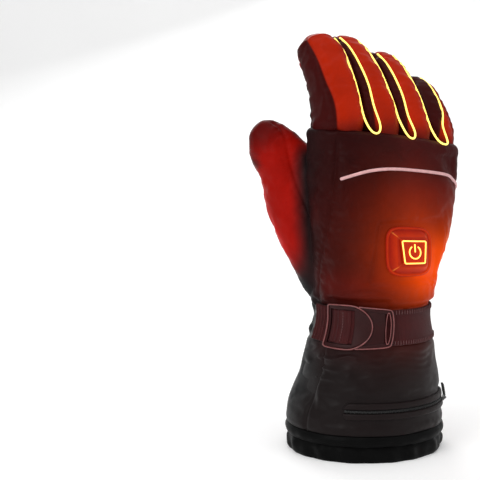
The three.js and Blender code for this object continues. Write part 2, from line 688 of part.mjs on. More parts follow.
// Ladder buckle, from a left bar over a window, a raised round tongue and a slot. The half
// height is a share of the buckle's at a share of its length.
const BUCKLE_ROWS = [
  { at: 0.0, half: 0.44 },
  { at: 0.05, half: 0.47 },
  { at: 0.4, half: 0.5 },
  { at: 0.75, half: 0.46 },
  { at: 0.94, half: 0.43 },
  { at: 1.0, half: 0.36 },
];
const bucklePlace = onBody(BUCKLE_TURN, strapMiddle);
const buckleLow = strapTop + ON_CLOTH;
const buckleHigh = buckleLow + BUCKLE_THICKNESS;
const buckleLeft = -BUCKLE_LENGTH / 2;
const windowLeft = buckleLeft + BUCKLE_BAR;
const tongueLeft = windowLeft + BUCKLE_WINDOW;
const slotLeft = BUCKLE_LENGTH / 2 - BUCKLE_BAR - BUCKLE_SLOT;
const buckleInside = BUCKLE_HEIGHT / 2 - BUCKLE_BAR;
function buckleSheet(from, length, half, low, high, alongSteps) {
  const at = (along, up, lift) => bucklePlace(from + along * length, (2 * up - 1) * half(along), lift);
  return sheet(alongSteps, 2, at, low, high);
}
const buckleCut = (from, length) =>
  buckleSheet(from, length, () => buckleInside - 1, strapTop, buckleHigh + 2 * BUCKLE_THICKNESS, 3);
const buckleOutline = (at) => BUCKLE_HEIGHT * smooth(BUCKLE_ROWS, "half", at);
const tongueOutline = (at) => Math.max(1, (BUCKLE_HEIGHT / 2 - 1) * Math.sqrt(1 - at * at));
const tongueHigh = buckleHigh + BUCKLE_THICKNESS / 3;
const buckle = joinAll([
  buckleSheet(buckleLeft, BUCKLE_LENGTH, buckleOutline, buckleLow, buckleHigh, 10),
  buckleSheet(tongueLeft, BUCKLE_TONGUE, tongueOutline, buckleLow, tongueHigh, 6),
])
  .subtract(buckleCut(windowLeft, BUCKLE_WINDOW))
  .subtract(buckleCut(slotLeft, BUCKLE_SLOT));

// The webbing's folded end, which shows in the buckle's window
const strapFold = buckleSheet(
  windowLeft + GAP,
  BUCKLE_WINDOW - 2 * GAP,
  () => buckleInside - 1 - GAP,
  buckleLow,
  buckleLow + STRAP_THICKNESS,
  5,
);

// Pocket: two welts with the zip between them
const pocketMiddle = CUFF_BOTTOM + POCKET_UP;
function pocketSheet(fromTurn, toTurn, middle, height, low, high, steps) {
  const at = (along, up, lift) =>
    bodyPoint(middle + (up - 0.5) * height, radians(mix(fromTurn, toTurn, along)), lift);
  return sheet(steps, 1, at, low, high);
}
const weltShift = (WELT_HEIGHT + ZIP_WIDTH) / 2 + GAP;
const [upperWelt, lowerWelt] = [weltShift, -weltShift].map((shift) =>
  pocketSheet(POCKET_FROM, POCKET_TO, pocketMiddle + shift, WELT_HEIGHT, ON_CLOTH, ON_CLOTH + WELT_THICKNESS, 18),
);
const zip = pocketSheet(POCKET_FROM + 1, POCKET_TO, pocketMiddle, ZIP_WIDTH, ON_CLOTH, ON_CLOTH + ZIP_THICKNESS, 16);

// Zip slider and its woven pull
const sliderPlace = onBody(SLIDER_TURN, pocketMiddle);
const sliderLow = ON_CLOTH + WELT_THICKNESS + GAP;
const sliderHigh = sliderLow + SLIDER_THICKNESS;
const slider = sheet(
  2,
  2,
  (along, up, lift) => sliderPlace((along - 0.5) * SLIDER_LENGTH, (up - 0.5) * SLIDER_HEIGHT, lift),
  sliderLow,
  sliderHigh,
);
const pullPlace = (along, up, lift) =>
  sliderPlace(
    SLIDER_LENGTH / 2 + GAP + along * PULL_LENGTH * 0.6,
    (up - 0.5) * PULL_WIDTH + along * PULL_LENGTH * 0.75,
    lift,
  );
const pull = sheet(3, 2, pullPlace, sliderLow, sliderLow + PULL_THICKNESS);

// Cord lock at the hem, with the plunger below
const cordTurn = radians(CORD_TURN);
const cordOut = vector(Math.sin(cordTurn), -Math.cos(cordTurn), 0);
const cordSide = vector(Math.cos(cordTurn), Math.sin(cordTurn), 0);
const lockReach = Math.max(ROLL_BULGE, SKIRT_GATHER_DEPTH) + ON_CLOTH + LOCK_DIAMETER / 2;
const lockMiddle = bodyPoint(CUFF_BOTTOM - ROLL_HEIGHT / 2, cordTurn, lockReach);
const lockRing = (radius, z) =>
  Array.from({ length: 12 }, (_, i) => {
    const turn = (i / 12) * 2 * Math.PI;
    return vector(lockMiddle.x + radius * Math.cos(turn), lockMiddle.y + radius * Math.sin(turn), lockMiddle.z + z);
  });
const lockHalf = (LOCK_HEIGHT - PLUNGER_HEIGHT) / 2;
const lock = loft([
  lockRing(PLUNGER_DIAMETER / 2, -lockHalf - PLUNGER_HEIGHT),
  lockRing(PLUNGER_DIAMETER / 2, -lockHalf),
  lockRing(LOCK_DIAMETER * 0.38, -lockHalf),
  lockRing(LOCK_DIAMETER / 2, -lockHalf * 0.4),
  lockRing(LOCK_DIAMETER / 2, lockHalf * 0.4),
  lockRing(LOCK_DIAMETER * 0.36, lockHalf),
]);

// Webbing loop from the cuff down to the cord lock
const loopTop = lockMiddle.z + lockHalf + GAP + LOOP_THICKNESS;
const loopFoot = bodyPoint(loopTop + LOOP_HEIGHT, cordTurn, ON_CLOTH + LOOP_THICKNESS / 2);
const loopPoint = (up, out) => {
  const skin = bodyPoint(loopTop + LOOP_HEIGHT * up, cordTurn, ON_CLOTH + LOOP_THICKNESS / 2);
  return skin.addScaledVector(cordOut, out * LOCK_DIAMETER);
};
const cordLoop = strip(
  [loopFoot, loopPoint(0.75, 0.25), loopPoint(0.45, 0.75), loopPoint(0.15, 0.9), loopPoint(0.0, 0.5)],
  cordSide,
  LOOP_WIDTH,
  LOOP_THICKNESS,
);

// Route of the free drawcord, from the lock's outer side to the floor
const CORD_ROUTE = [
  [0.0, 0.0, 0.0],
  [2.6, 0.0, 0.0],
  [5.2, 0.1, -0.1],
  [7.8, 0.4, -0.5],
  [10.3, 0.9, -1.2],
  [12.7, 1.6, -2.3],
  [14.9, 2.5, -3.8],
  [17.0, 3.5, -5.5],
  [19.1, 4.6, -7.3],
  [21.2, 5.8, -9.0],
  [23.4, 7.1, -10.6],
  [25.7, 8.5, -11.8],
  [28.1, 9.9, -12.6],
  [30.6, 11.3, -12.9],
  [33.1, 12.7, -12.95],
];
const cordStart = lockMiddle.clone().addScaledVector(cordOut, LOCK_DIAMETER / 2 + GAP);
const cordPoint = ([out, side, up]) =>
  cordStart.clone().addScaledVector(cordOut, out).addScaledVector(cordSide, side).add(vector(0, 0, up));
const cordPoints = CORD_ROUTE.map(cordPoint);
const drawcord = tube(cordPoints, CORD_DIAMETER, 8, 14);

// Tapered end of the drawcord
const endAlong = cordPoints[cordPoints.length - 1].clone().sub(cordPoints[cordPoints.length - 2]).setZ(0).normalize();
const endSide = vector(-endAlong.y, endAlong.x, 0);
const endRing = (radius, along) =>
  Array.from({ length: 10 }, (_, i) => {
    const turn = (i / 10) * 2 * Math.PI;
    return cordPoints[cordPoints.length - 1]
      .clone()
      .addScaledVector(endAlong, GAP + along)
      .addScaledVector(endSide, radius * Math.cos(turn))
      .add(vector(0, 0, radius * Math.sin(turn)));
  });
const cordEnd = loft([
  endRing(CORD_DIAMETER * 0.7, 0),
  endRing(CORD_END_DIAMETER * 0.4, CORD_END_LENGTH * 0.2),
  endRing(CORD_END_DIAMETER / 2, CORD_END_LENGTH * 0.7),
  endRing(CORD_END_DIAMETER * 0.42, CORD_END_LENGTH),
]);

// Clip at the cuff's upper edge, on a short tab of webbing. up is measured from that edge.
const clipTurn = radians(CLIP_TURN);
const clipOut = vector(Math.sin(clipTurn), -Math.cos(clipTurn), 0);
const clipSide = vector(Math.cos(clipTurn), Math.sin(clipTurn), 0);
const clipTab = (up, lift) => bodyPoint(WRIST_BOTTOM + up, clipTurn, ON_CLOTH + lift);
const clipLoop = strip(
  [-0.1, -0.3, -0.55, -0.8].map((share) => clipTab(share * CLIP_HEIGHT, STRAP_THICKNESS / 2)),
  clipSide,
  CLIP_LOOP_WIDTH,
  STRAP_THICKNESS,
);
const clipWire = (out, up) =>
  clipTab(-CLIP_HEIGHT / 2, STRAP_THICKNESS + GAP + CLIP_WIRE / 2)
    .addScaledVector(clipOut, out * CLIP_REACH)
    .add(vector(0, 0, up * CLIP_HEIGHT));
const clip = tube(
  [clipWire(0, 0.5), clipWire(0, 0.05), clipWire(0.25, -0.35), clipWire(0.7, -0.4), clipWire(0.85, -0.1)],
  CLIP_WIRE,
  6,
  12,
);

const CLOTH_BLACK = 0x2a2324;
const TRIM_BLACK = 0x101010;
const LIGHT_YELLOW = 0xfff2a0;
const parts = [
  { name: "hand_shell", solid: hand, color: 0x4a1518 },
  ...FINGERS.map((finger, i) => ({ name: finger.name, solid: fingers[i], color: 0x9a2a14 })),
  { name: "thumb", solid: thumb, color: 0x8c140c },
  { name: "wrist_gather", solid: wrist, color: CLOTH_BLACK },
  { name: "cuff_shell", solid: cuff, color: CLOTH_BLACK },
  { name: "hem_roll", solid: roll, color: TRIM_BLACK },
  { name: "hem_skirt", solid: skirt, color: TRIM_BLACK },
  { name: "palm_grip", solid: grip, color: 0x1c1d1e },
  { name: "knuckle_piping", solid: piping, color: 0xd9a0a0 },
  ...wires.map((wire, i) => ({ name: `heating_wire_${i + 1}`, solid: wire, color: LIGHT_YELLOW })),
  { name: "badge", solid: badge, color: 0xc03008 },
  { name: "power_key", solid: key, color: 0xd04008 },
  { name: "key_light_frame", solid: lightFrame, color: LIGHT_YELLOW },
  { name: "key_light_arc", solid: symbolArc, color: LIGHT_YELLOW },
  { name: "key_light_bar", solid: symbolBar, color: LIGHT_YELLOW },
  { name: "wrist_strap", solid: strap, color: 0x3c0f11 },
  { name: "strap_buckle", solid: buckle, color: 0x5a2022 },
  { name: "strap_fold", solid: strapFold, color: 0x3c0f11 },
  { name: "pocket_welt_upper", solid: upperWelt, color: CLOTH_BLACK },
  { name: "pocket_welt_lower", solid: lowerWelt, color: CLOTH_BLACK },
  { name: "zip_chain", solid: zip, color: TRIM_BLACK },
  { name: "zip_slider", solid: slider, color: TRIM_BLACK },
  { name: "zip_pull", solid: pull, color: 0x3a3a3a },
  { name: "cord_loop", solid: cordLoop, color: TRIM_BLACK },
  { name: "cord_lock", solid: lock, color: TRIM_BLACK },
  { name: "drawcord", solid: drawcord, color: TRIM_BLACK },
  { name: "cord_end", solid: cordEnd, color: TRIM_BLACK },
  { name: "clip_loop", solid: clipLoop, color: TRIM_BLACK },
  { name: "glove_clip", solid: clip, color: TRIM_BLACK },
];

// A mesh of the scene from a solid.
function toMesh({ name, solid, color }) {
  const data = solid.getMesh();
  const geometry = new THREE.BufferGeometry()
    .setAttribute("position", new THREE.BufferAttribute(new Float32Array(data.vertProperties), 3))
    .setIndex(new THREE.BufferAttribute(new Uint32Array(data.triVerts), 1));
  geometry.computeVertexNormals();
  const mesh = new THREE.Mesh(geometry, new THREE.MeshStandardMaterial({ color, roughness: 0.6, metalness: 0 }));
  mesh.name = name;
  return mesh;
}

const glove = new THREE.Group();
parts.forEach((part) => glove.add(toMesh(part)));

export default glove;
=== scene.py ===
import json
import math

import bmesh
import bpy
import numpy as np
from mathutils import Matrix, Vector
from mathutils.bvhtree import BVHTree
from mathutils.kdtree import KDTree

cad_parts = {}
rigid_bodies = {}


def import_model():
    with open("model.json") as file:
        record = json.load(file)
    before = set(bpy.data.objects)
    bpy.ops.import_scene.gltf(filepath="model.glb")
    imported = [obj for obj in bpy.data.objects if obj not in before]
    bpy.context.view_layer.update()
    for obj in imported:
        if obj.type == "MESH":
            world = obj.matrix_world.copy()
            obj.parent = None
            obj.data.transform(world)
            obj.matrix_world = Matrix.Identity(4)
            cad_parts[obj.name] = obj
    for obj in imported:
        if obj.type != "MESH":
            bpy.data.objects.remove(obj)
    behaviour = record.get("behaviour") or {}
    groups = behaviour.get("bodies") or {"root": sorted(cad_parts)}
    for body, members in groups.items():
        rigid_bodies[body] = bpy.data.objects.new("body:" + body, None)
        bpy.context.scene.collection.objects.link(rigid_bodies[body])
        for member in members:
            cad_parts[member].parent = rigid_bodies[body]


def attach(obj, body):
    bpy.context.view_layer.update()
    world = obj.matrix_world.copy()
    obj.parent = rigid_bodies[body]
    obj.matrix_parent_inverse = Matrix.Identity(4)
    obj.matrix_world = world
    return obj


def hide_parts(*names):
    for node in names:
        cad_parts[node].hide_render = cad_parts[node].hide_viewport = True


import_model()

bl_info = {
    "name": "Heated glove",
    "version": (1, 0, 0),
    "blender": (4, 5, 0),
    "location": "3D view, sidebar, Glove tab",
    "description": "A padded heated winter glove for the right hand, round its fixed solids",
    "category": "Add Mesh",
}

# Sizes in millimetres, as in the fixed solids

SKIRT_HEIGHT = 12
ROLL_HEIGHT = 8
CUFF_HEIGHT = 66
WRIST_HEIGHT = 28
HAND_HEIGHT = 115
CUFF_WIDTH = 122
CUFF_DEPTH = 114
WRIST_WIDTH = 84
WRIST_DEPTH = 91
KNUCKLE_DEPTH = 42
WRIST_BACK = 6.5
KNUCKLE_BACK = 14
KNUCKLE_SHIFT = 9
KNUCKLE_ARCH = 7
KNUCKLE_SLOPE = 8
PADDING = 3.6
CUFF_WALL = 2.6
HEM_WALL = 2.4
ROLL_BULGE = 1.6
GAP = 0.3
ON_CLOTH = 0.45
FINGER_GAP = 1.2
CUFF_BOTTOM = SKIRT_HEIGHT + ROLL_HEIGHT
WRIST_BOTTOM = CUFF_BOTTOM + CUFF_HEIGHT
WRIST_TOP = WRIST_BOTTOM + WRIST_HEIGHT
KNUCKLE_LINE = WRIST_TOP + HAND_HEIGHT

# Fingers from the thumb's side. curl is the bend towards the palm at root and tip, lean the
# tilt towards the thumb and edge the thumb's side edge of the back panel, all in degrees.
# tuck is how far the root is drawn in under the knuckles' seam.
FINGERS = (
    {
        "name": "index_finger",
        "width": 32,
        "depth": 30,
        "reach": 84,
        "curl": (0, 40),
        "lean": (0, 7),
        "edge": -40,
        "tuck": 5.6,
    },
    {
        "name": "middle_finger",
        "width": 30.5,
        "depth": 30,
        "reach": 99,
        "curl": (8, 60),
        "lean": (0, 0),
        "edge": -20,
        "tuck": 3.0,
    },
    {
        "name": "ring_finger",
        "width": 29.5,
        "depth": 29,
        "reach": 88,
        "curl": (8, 58),
        "lean": (0, 0),
        "edge": -18,
        "tuck": 3.0,
    },
    {
        "name": "little_finger",
        "width": 26.5,
        "depth": 26,
        "reach": 71,
        "curl": (8, 62),
        "lean": (0, -5),
        "edge": 15,
        "tuck": 2.9,
    },
)
KNUCKLE_WIDTH = sum(finger["width"] for finger in FINGERS) + FINGER_GAP * (len(FINGERS) - 1)
FINGER_SQUARE = 2.7
FINGER_TIP = 0.8
TIP_ROUNDNESS = 2.4
THUMB_ROOT = (-3, 2, 116)
THUMB_BEND = (-29, 14, 176)
THUMB_END = (-72, 40, 246)
THUMB_LENGTH = 151.3
THUMB_WIDTH = 84
THUMB_DEPTH = 34
THUMB_SQUARE = 2.3
THUMB_TIP = 0.84

# The outline of each stretch, as shares between the wrist's size and the far end's
CUFF_ROWS = {
    "at": (0.0, 0.2, 0.4, 0.58, 0.78, 1.0),
    "spread": (1.0, 0.95, 0.81, 0.64, 0.44, 0.25),
    "swell": (1.0, 0.93, 0.64, 0.34, 0.14, 0.07),
    "back": (0.0, 0.02, 0.25, 0.6, 0.85, 0.97),
}
WRIST_ROWS = {
    "at": (0.0, 0.22, 0.44, 0.64, 0.84, 1.0),
    "spread": (0.25, 0.14, 0.05, 0.0, 0.0, 0.01),
    "swell": (0.07, 0.04, 0.01, 0.0, 0.0, 0.0),
    "back": (0.97, 1.0, 1.0, 1.0, 1.0, 1.0),
}
HAND_ROWS = {
    "at": (0.0, 0.12, 0.3, 0.52, 0.72, 0.88, 1.0),
    "spread": (0.01, 0.13, 0.42, 0.67, 0.82, 0.93, 1.0),
    "swell": (0.0, 0.02, 0.13, 0.32, 0.56, 0.8, 1.0),
    "lean": (0.0, 0.08, 0.3, 0.55, 0.75, 0.9, 1.0),
    "arch": (0.0, 0.0, 0.1, 0.35, 0.65, 0.85, 1.0),
    "square": (2.0, 2.0, 2.1, 2.4, 2.8, 3.4, 4.0),
}
FINGER_ROWS = {
    "at": (0.0, 0.2, 0.45, 0.75, 1.0),
    "width": (1.0, 1.0, 0.98, 0.94, 0.84),
    "depth": (1.27, 1.14, 0.97, 0.87, 0.7),
}
THUMB_ROWS = {
    "at": (0.0, 0.2, 0.4, 0.6, 0.8, 1.0),
    "width": (0.7, 0.8, 0.82, 0.71, 0.48, 0.32),
    "depth": (0.8, 0.95, 1.0, 0.98, 0.9, 0.76),
}

# The seam between the index finger's back and its dark side
INDEX_EDGE = {"at": (0.0, 0.17, 0.33, 0.5, 0.73, 1.0), "turn": (-47, -36, -35, -45, -50, -62)}

# Broad dents and puffs. turn and wide are in degrees, at and tall shares of the height up to
# the knuckles and push a share of the padding.
DENTS = (
    {"turn": -96, "at": 0.2, "wide": 18, "tall": 0.05, "push": -0.9},
    {"turn": -116, "at": 0.3, "wide": 16, "tall": 0.045, "push": 0.5},
    {"turn": 92, "at": 0.27, "wide": 22, "tall": 0.05, "push": -0.7},
    {"turn": 200, "at": 0.57, "wide": 30, "tall": 0.05, "push": -0.8},
    {"turn": 150, "at": 0.58, "wide": 40, "tall": 0.05, "push": -0.5},
    {"turn": -20, "at": 0.27, "wide": 44, "tall": 0.05, "push": 0.4},
)


# Sizes of the hard and narrow pieces, as in the fixed solids

STRAP_UP = 14
STRAP_HEIGHT = 26
STRAP_THICKNESS = 1.4
STRAP_FROM = -104
STRAP_TO = 84
STRAP_MIDDLE = WRIST_BOTTOM + STRAP_UP
STRAP_TOP = ON_CLOTH + STRAP_THICKNESS
BUCKLE_TURN = -50
BUCKLE_LENGTH = 50
BUCKLE_HEIGHT = 33
BUCKLE_BAR = 3
BUCKLE_WINDOW = 19
BUCKLE_SLOT = 4
BUCKLE_BOW = 17
BUCKLE_LOW = STRAP_TOP + ON_CLOTH
BUCKLE_THICKNESS = 2.2
POCKET_MIDDLE = CUFF_BOTTOM + 18.6
POCKET_FROM = -52
POCKET_TO = 60
WELT_HEIGHT = 5
WELT_THICKNESS = 1.6
ZIP_WIDTH = 1.8
SLIDER_TURN = 47
SLIDER_LENGTH = 7
SLIDER_HEIGHT = 4.2
SLIDER_LOW = ON_CLOTH + WELT_THICKNESS + GAP
PULL_LENGTH = 11
PULL_WIDTH = 5
BADGE_ACROSS = 1.5
BADGE_UP = 41
BADGE_WIDTH = 41
BADGE_HEIGHT = 36
BADGE_RISE = 3.4
KEY_TOP_WIDTH = 21.5
KEY_BOTTOM_WIDTH = 18.5
KEY_HEIGHT = 18
KEY_LOW = ON_CLOTH + BADGE_RISE + 2 * GAP
KEY_HIGH = KEY_LOW + 0.9
LIGHT_WIDTH = 1.1
SYMBOL_RADIUS = 4.6
GRIP_BOTTOM = 31
GRIP_TOP = 95
GRIP_ROWS = {"at": (0.0, 0.35, 0.65, 1.0), "from": (128, 122, 116, 112), "to": (183, 184, 188, 197)}
PIPING_ROWS = {"at": (0.0, 0.25, 0.5, 0.75, 1.0), "rise": (0.775, 0.845, 0.865, 0.84, 0.75)}
PIPING_FROM = -56
PIPING_TO = 78
PIPING_DIAMETER = 2.4
WIRE_SHARES = (0.86, 0.7, 0.56, 0.44, 0.34, 0.25)
WIRE_TURN = 40
WIRE_SWING = 0.4
WIRE_DIAMETER = 1.4
WIRE_RISE = 6.5
WIRE_SHOULDER = 5


# Forms of the body, fingers and thumb


def mix(a, b, share):
    return a + (b - a) * share


def smooth(rows, column, at):
    """Value of a table's column at shares, on a smooth curve through its rows."""
    places = np.asarray(rows["at"], float)
    values = np.asarray(rows[column], float)
    order = np.arange(len(places))
    before = np.maximum(order - 1, 0)
    after = np.minimum(order + 1, len(places) - 1)
    slopes = (values[after] - values[before]) / (places[after] - places[before])
    row = np.clip(np.searchsorted(places, at) - 1, 0, len(places) - 2)
    span = places[row + 1] - places[row]
    t = (at - places[row]) / span
    start = values[row] * (2 * t**3 - 3 * t**2 + 1) + slopes[row] * span * (t**3 - 2 * t**2 + t)
    return start + values[row + 1] * (3 * t**2 - 2 * t**3) + slopes[row + 1] * span * (t**3 - t**2)


def signed_power(value, power):
    return np.sign(value) * np.abs(value) ** power


def body_section(z):
    """Middle, half sizes and squareness of the glove's body at heights."""
    cuff = np.clip((z - CUFF_BOTTOM) / CUFF_HEIGHT, 0, 1)
    wrist = np.clip((z - WRIST_BOTTOM) / WRIST_HEIGHT, 0, 1)
    hand = np.clip((z - WRIST_TOP) / HAND_HEIGHT, 0, 1)

    def stretch(low, middle, high):
        return np.where(z <= WRIST_BOTTOM, low, np.where(z <= WRIST_TOP, middle, high))

    def between(column, small, wide, knuckle):
        low = mix(small, wide, smooth(CUFF_ROWS, column, cuff))
        middle = mix(small, wide, smooth(WRIST_ROWS, column, wrist))
        return stretch(low, middle, mix(small, knuckle, smooth(HAND_ROWS, column, hand))) / 2

    lean = smooth(HAND_ROWS, "lean", hand)
    return {
        "x": stretch(0, 0, KNUCKLE_SHIFT * lean),
        "y": stretch(
            -WRIST_BACK * smooth(CUFF_ROWS, "back", cuff),
            -WRIST_BACK * smooth(WRIST_ROWS, "back", wrist),
            -mix(WRIST_BACK, KNUCKLE_BACK, lean),
        ),
        "width": between("spread", WRIST_WIDTH, CUFF_WIDTH, KNUCKLE_WIDTH),
        "depth": between("swell", WRIST_DEPTH, CUFF_DEPTH, KNUCKLE_DEPTH),
        "square": stretch(2, 2, smooth(HAND_ROWS, "square", hand)),
        "arch": stretch(0, 0, KNUCKLE_ARCH * smooth(HAND_ROWS, "arch", hand)),
        "slope": stretch(0, 0, KNUCKLE_SLOPE * lean),
    }


def dent_at(z, turn):
    total = 0
    for dent in DENTS:
        across = away_from(turn, dent["turn"]) / math.radians(dent["wide"])
        up = (z / KNUCKLE_LINE - dent["at"]) / dent["tall"]
        total = total + PADDING * dent["push"] * np.exp(-across * across - up * up)
    return total


def body_point(z, turn, lift=0.0):
    """Points of the body's outside. turn is 0 at the back and grows to the little finger."""
    section = body_section(z)
    power = 2 / section["square"]
    out = lift + dent_at(z, turn)
    across = signed_power(np.sin(turn), power) * (section["width"] + out)
    deep = -signed_power(np.cos(turn), power) * (section["depth"] + out)
    share = across / section["width"]
    x = section["x"] + across
    y = section["y"] + deep + section["arch"] * share * share
    return np.stack(np.broadcast_arrays(x, y, z - section["slope"] * share), -1)


def back_point(x, z, lift=0.0):
    """Points on the back of the hand at places across it."""
    section = body_section(z)
    share = (x - section["x"]) / section["width"]
    return body_point(z, np.arcsin(signed_power(share, section["square"] / 2)), lift)


def on_body(turn_degrees, z):
    """Places round a middle on the body, in millimetres along towards the little finger and up."""
    section = body_section(np.float64(z))
    radius = (section["width"] + section["depth"]) / 2

    def place(along, up, lift=0.0):
        return body_point(z + up, math.radians(turn_degrees) + along / radius, lift)

    return place


def tip_round(share, start):
    past = np.clip((share - start) / (1 - start), 0, 1)
    return (1 - past**TIP_ROUNDNESS) ** (1 / TIP_ROUNDNESS)


def unit(vectors):
    return vectors / np.linalg.norm(vectors, axis=-1, keepdims=True)


def finger_root(index):
    before = sum(finger["width"] + FINGER_GAP for finger in FINGERS[:index])
    across = before + FINGERS[index]["width"] / 2 - KNUCKLE_WIDTH / 2
    share = across / (KNUCKLE_WIDTH / 2)
    spare = (KNUCKLE_DEPTH - FINGERS[index]["depth"] * FINGER_ROWS["depth"][0]) / 2
    y = -KNUCKLE_BACK + KNUCKLE_ARCH * share * share - spare / 2
    return np.array([KNUCKLE_SHIFT + across, y, KNUCKLE_LINE - KNUCKLE_SLOPE * share])


def finger_heading(finger, share):
    curl = np.radians(mix(*finger["curl"], np.maximum(share, 0)))
    lean = np.radians(mix(*finger["lean"], np.maximum(share, 0)))
    return np.stack([-np.sin(lean), np.sin(curl) * np.cos(lean), np.cos(curl) * np.cos(lean)], -1)


def finger_point(index, share, turn, lift=0.0):
    """Points of a finger's outside. turn is 0 at its back and grows to the little finger."""
    finger = FINGERS[index]
    share, turn, lift = np.broadcast_arrays(np.asarray(share, float), turn, lift)
    pieces = 16
    far = np.where(share > 0, share * (1 + lift / finger["reach"]), share)
    point = np.broadcast_to(finger_root(index), far.shape + (3,)).copy()
    for i in range(pieces):
        heading = finger_heading(finger, far * (i + 0.5) / pieces)
        point += heading * (far * finger["reach"] / pieces)[..., None]
    along = finger_heading(finger, far)
    side = unit(np.array([1.0, 0, 0]) - along * along[..., :1])
    back = unit(np.cross(side, along))
    at = np.clip(share, 0, 1)
    rounding = tip_round(share, FINGER_TIP)
    width = (finger["width"] / 2 * smooth(FINGER_ROWS, "width", at) + lift) * rounding
    depth = (finger["depth"] / 2 * smooth(FINGER_ROWS, "depth", at) + lift) * rounding
    power = 2 / FINGER_SQUARE
    point += side * (signed_power(np.sin(turn), power) * width)[..., None]
    return point + back * (signed_power(np.cos(turn), power) * depth)[..., None]


def thumb_point(share, turn, lift=0.0):
    """Points of the thumb's outside. turn is 0 at its back and grows away from the hand."""
    share, turn, lift = np.broadcast_arrays(np.asarray(share, float), turn, lift)
    root, bend, end = (np.array(place, float) for place in (THUMB_ROOT, THUMB_BEND, THUMB_END))
    far = (share * (1 + lift / THUMB_LENGTH))[..., None]
    point = (1 - far) ** 2 * root + 2 * far * (1 - far) * bend + far**2 * end
    along = unit((1 - far) * (bend - root) + far * (end - bend))
    outward = unit((end - root) * np.array([1, 1, 0]))
    out = unit(outward - along * np.sum(along * outward, -1, keepdims=True))
    back = unit(np.cross(along, out))
    rounding = tip_round(share, THUMB_TIP)
    width = (THUMB_WIDTH / 2 * smooth(THUMB_ROWS, "width", share) + lift) * rounding
    depth = (THUMB_DEPTH / 2 * smooth(THUMB_ROWS, "depth", share) + lift) * rounding
    power = 2 / THUMB_SQUARE
    point = point + out * (signed_power(np.sin(turn), power) * width)[..., None]
    return point + back * (signed_power(np.cos(turn), power) * depth)[..., None]


# Places on the glove, and meshes from them

MM = 0.001


def away_from(turn, place):
    """Signed angle from a place in degrees to turns in radians."""
    away = turn - np.radians(place)
    return np.arctan2(np.sin(away), np.cos(away))


def hill(value, half):
    return np.exp(-((value / half) ** 2))


def ripple(points, size, seed, stretch=(1, 1, 1), waves=16):
    """Gentle uneven waves of about a size in millimetres, from -1 to 1."""
    draw = np.random.default_rng(seed)
    total = 0
    for _ in range(waves):
        heading = unit(draw.normal(size=3)) / np.array(stretch) * (0.6 + 0.8 * draw.random())
        total = total + np.sin(points @ heading * (2 * math.pi / size) + draw.uniform(0, 2 * math.pi))
    return total / math.sqrt(waves)


def creases(points, size, seed, stretch=(1, 1, 1)):
    """Sharp-edged folds between soft puffs, from -1 to 1."""
    return 1 - 2 * np.minimum(1, np.abs(ripple(points, size, seed, stretch)) ** 0.8)


def grid_faces(rows, columns, closed=True):
    """Quads of a grid of points, row by row."""
    across = np.arange(columns if closed else columns - 1)
    low = np.arange(rows - 1)[:, None] * columns
    after = (across + 1) % columns
    corners = [low + across, low + after, low + columns + after, low + columns + across]
    return np.stack(corners, -1).reshape(-1, 4)


def new_object(name, points, faces, material, attributes=None, slot=None, weld=0.0):
    """A smooth-shaded piece of points in millimetres, with its normals turned out."""
    mesh = bpy.data.meshes.new(name)
    mesh.from_pydata((np.asarray(points).reshape(-1, 3) * MM).tolist(), [], [list(face) for face in faces])
    for key, values in (attributes or {}).items():
        kinds = {1: ("FLOAT", "value"), 3: ("FLOAT_VECTOR", "vector"), 4: ("FLOAT_COLOR", "color")}
        kind, field = kinds[values.shape[1] if values.ndim > 1 else 1]
        layer = mesh.attributes.new(key, kind, "POINT")
        layer.data.foreach_set(field, values.astype(np.float32).ravel())
    work = bmesh.new()
    work.from_mesh(mesh)
    bmesh.ops.remove_doubles(work, verts=work.verts, dist=max(weld, 0.002) * MM)
    bmesh.ops.recalc_face_normals(work, faces=work.faces)
    for face in work.faces:
        face.smooth = True
    work.to_mesh(mesh)
    work.free()
    mesh.materials.append(material)
    piece = bpy.data.objects.new(name, mesh)
    bpy.context.scene.collection.objects.link(piece)
    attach(piece, "root")
    return piece


def mesh_arrays(mesh):
    """A mesh's points and normals."""
    count = len(mesh.vertices)
    points = np.empty(count * 3)
    normals = np.empty(count * 3)
    mesh.vertices.foreach_get("co", points)
    mesh.vertex_normals.foreach_get("vector", normals)
    return points.reshape(-1, 3), normals.reshape(-1, 3)


def closed_sheet(at, along_steps, up_steps, low, high):
    """Points and faces of a thin closed sheet. at gives points for shares and a lift."""
    along = np.linspace(0, 1, along_steps + 1)[:, None]
    up = np.concatenate([np.linspace(0, 1, up_steps + 1), np.linspace(1, 0, up_steps + 1)])[None]
    half = up_steps + 1
    lift = np.concatenate([np.full(half, low), np.full(half, high)])[None]
    points = at(along + 0 * up, up + 0 * along, lift + 0 * along)
    faces = grid_faces(along_steps + 1, 2 * half).tolist()
    for start in (0, along_steps * 2 * half):
        for j in range(up_steps):
            faces.append([start + j, start + j + 1, start + 2 * half - 2 - j, start + 2 * half - 1 - j])
    return points.reshape(-1, 3), faces


def steps_along(line):
    """Distance of each point of a line from its start."""
    return np.concatenate([[0], np.cumsum(np.linalg.norm(np.diff(line, axis=0), axis=1))])


def smooth_line(points, count):
    """Evenly shared points on a smooth curve through some points."""
    points = np.asarray(points, float)
    lengths = steps_along(points)
    rows = {"at": lengths / lengths[-1], "x": points[:, 0], "y": points[:, 1], "z": points[:, 2]}
    at = np.linspace(0, 1, count)
    return np.stack([smooth(rows, key, at) for key in "xyz"], -1)


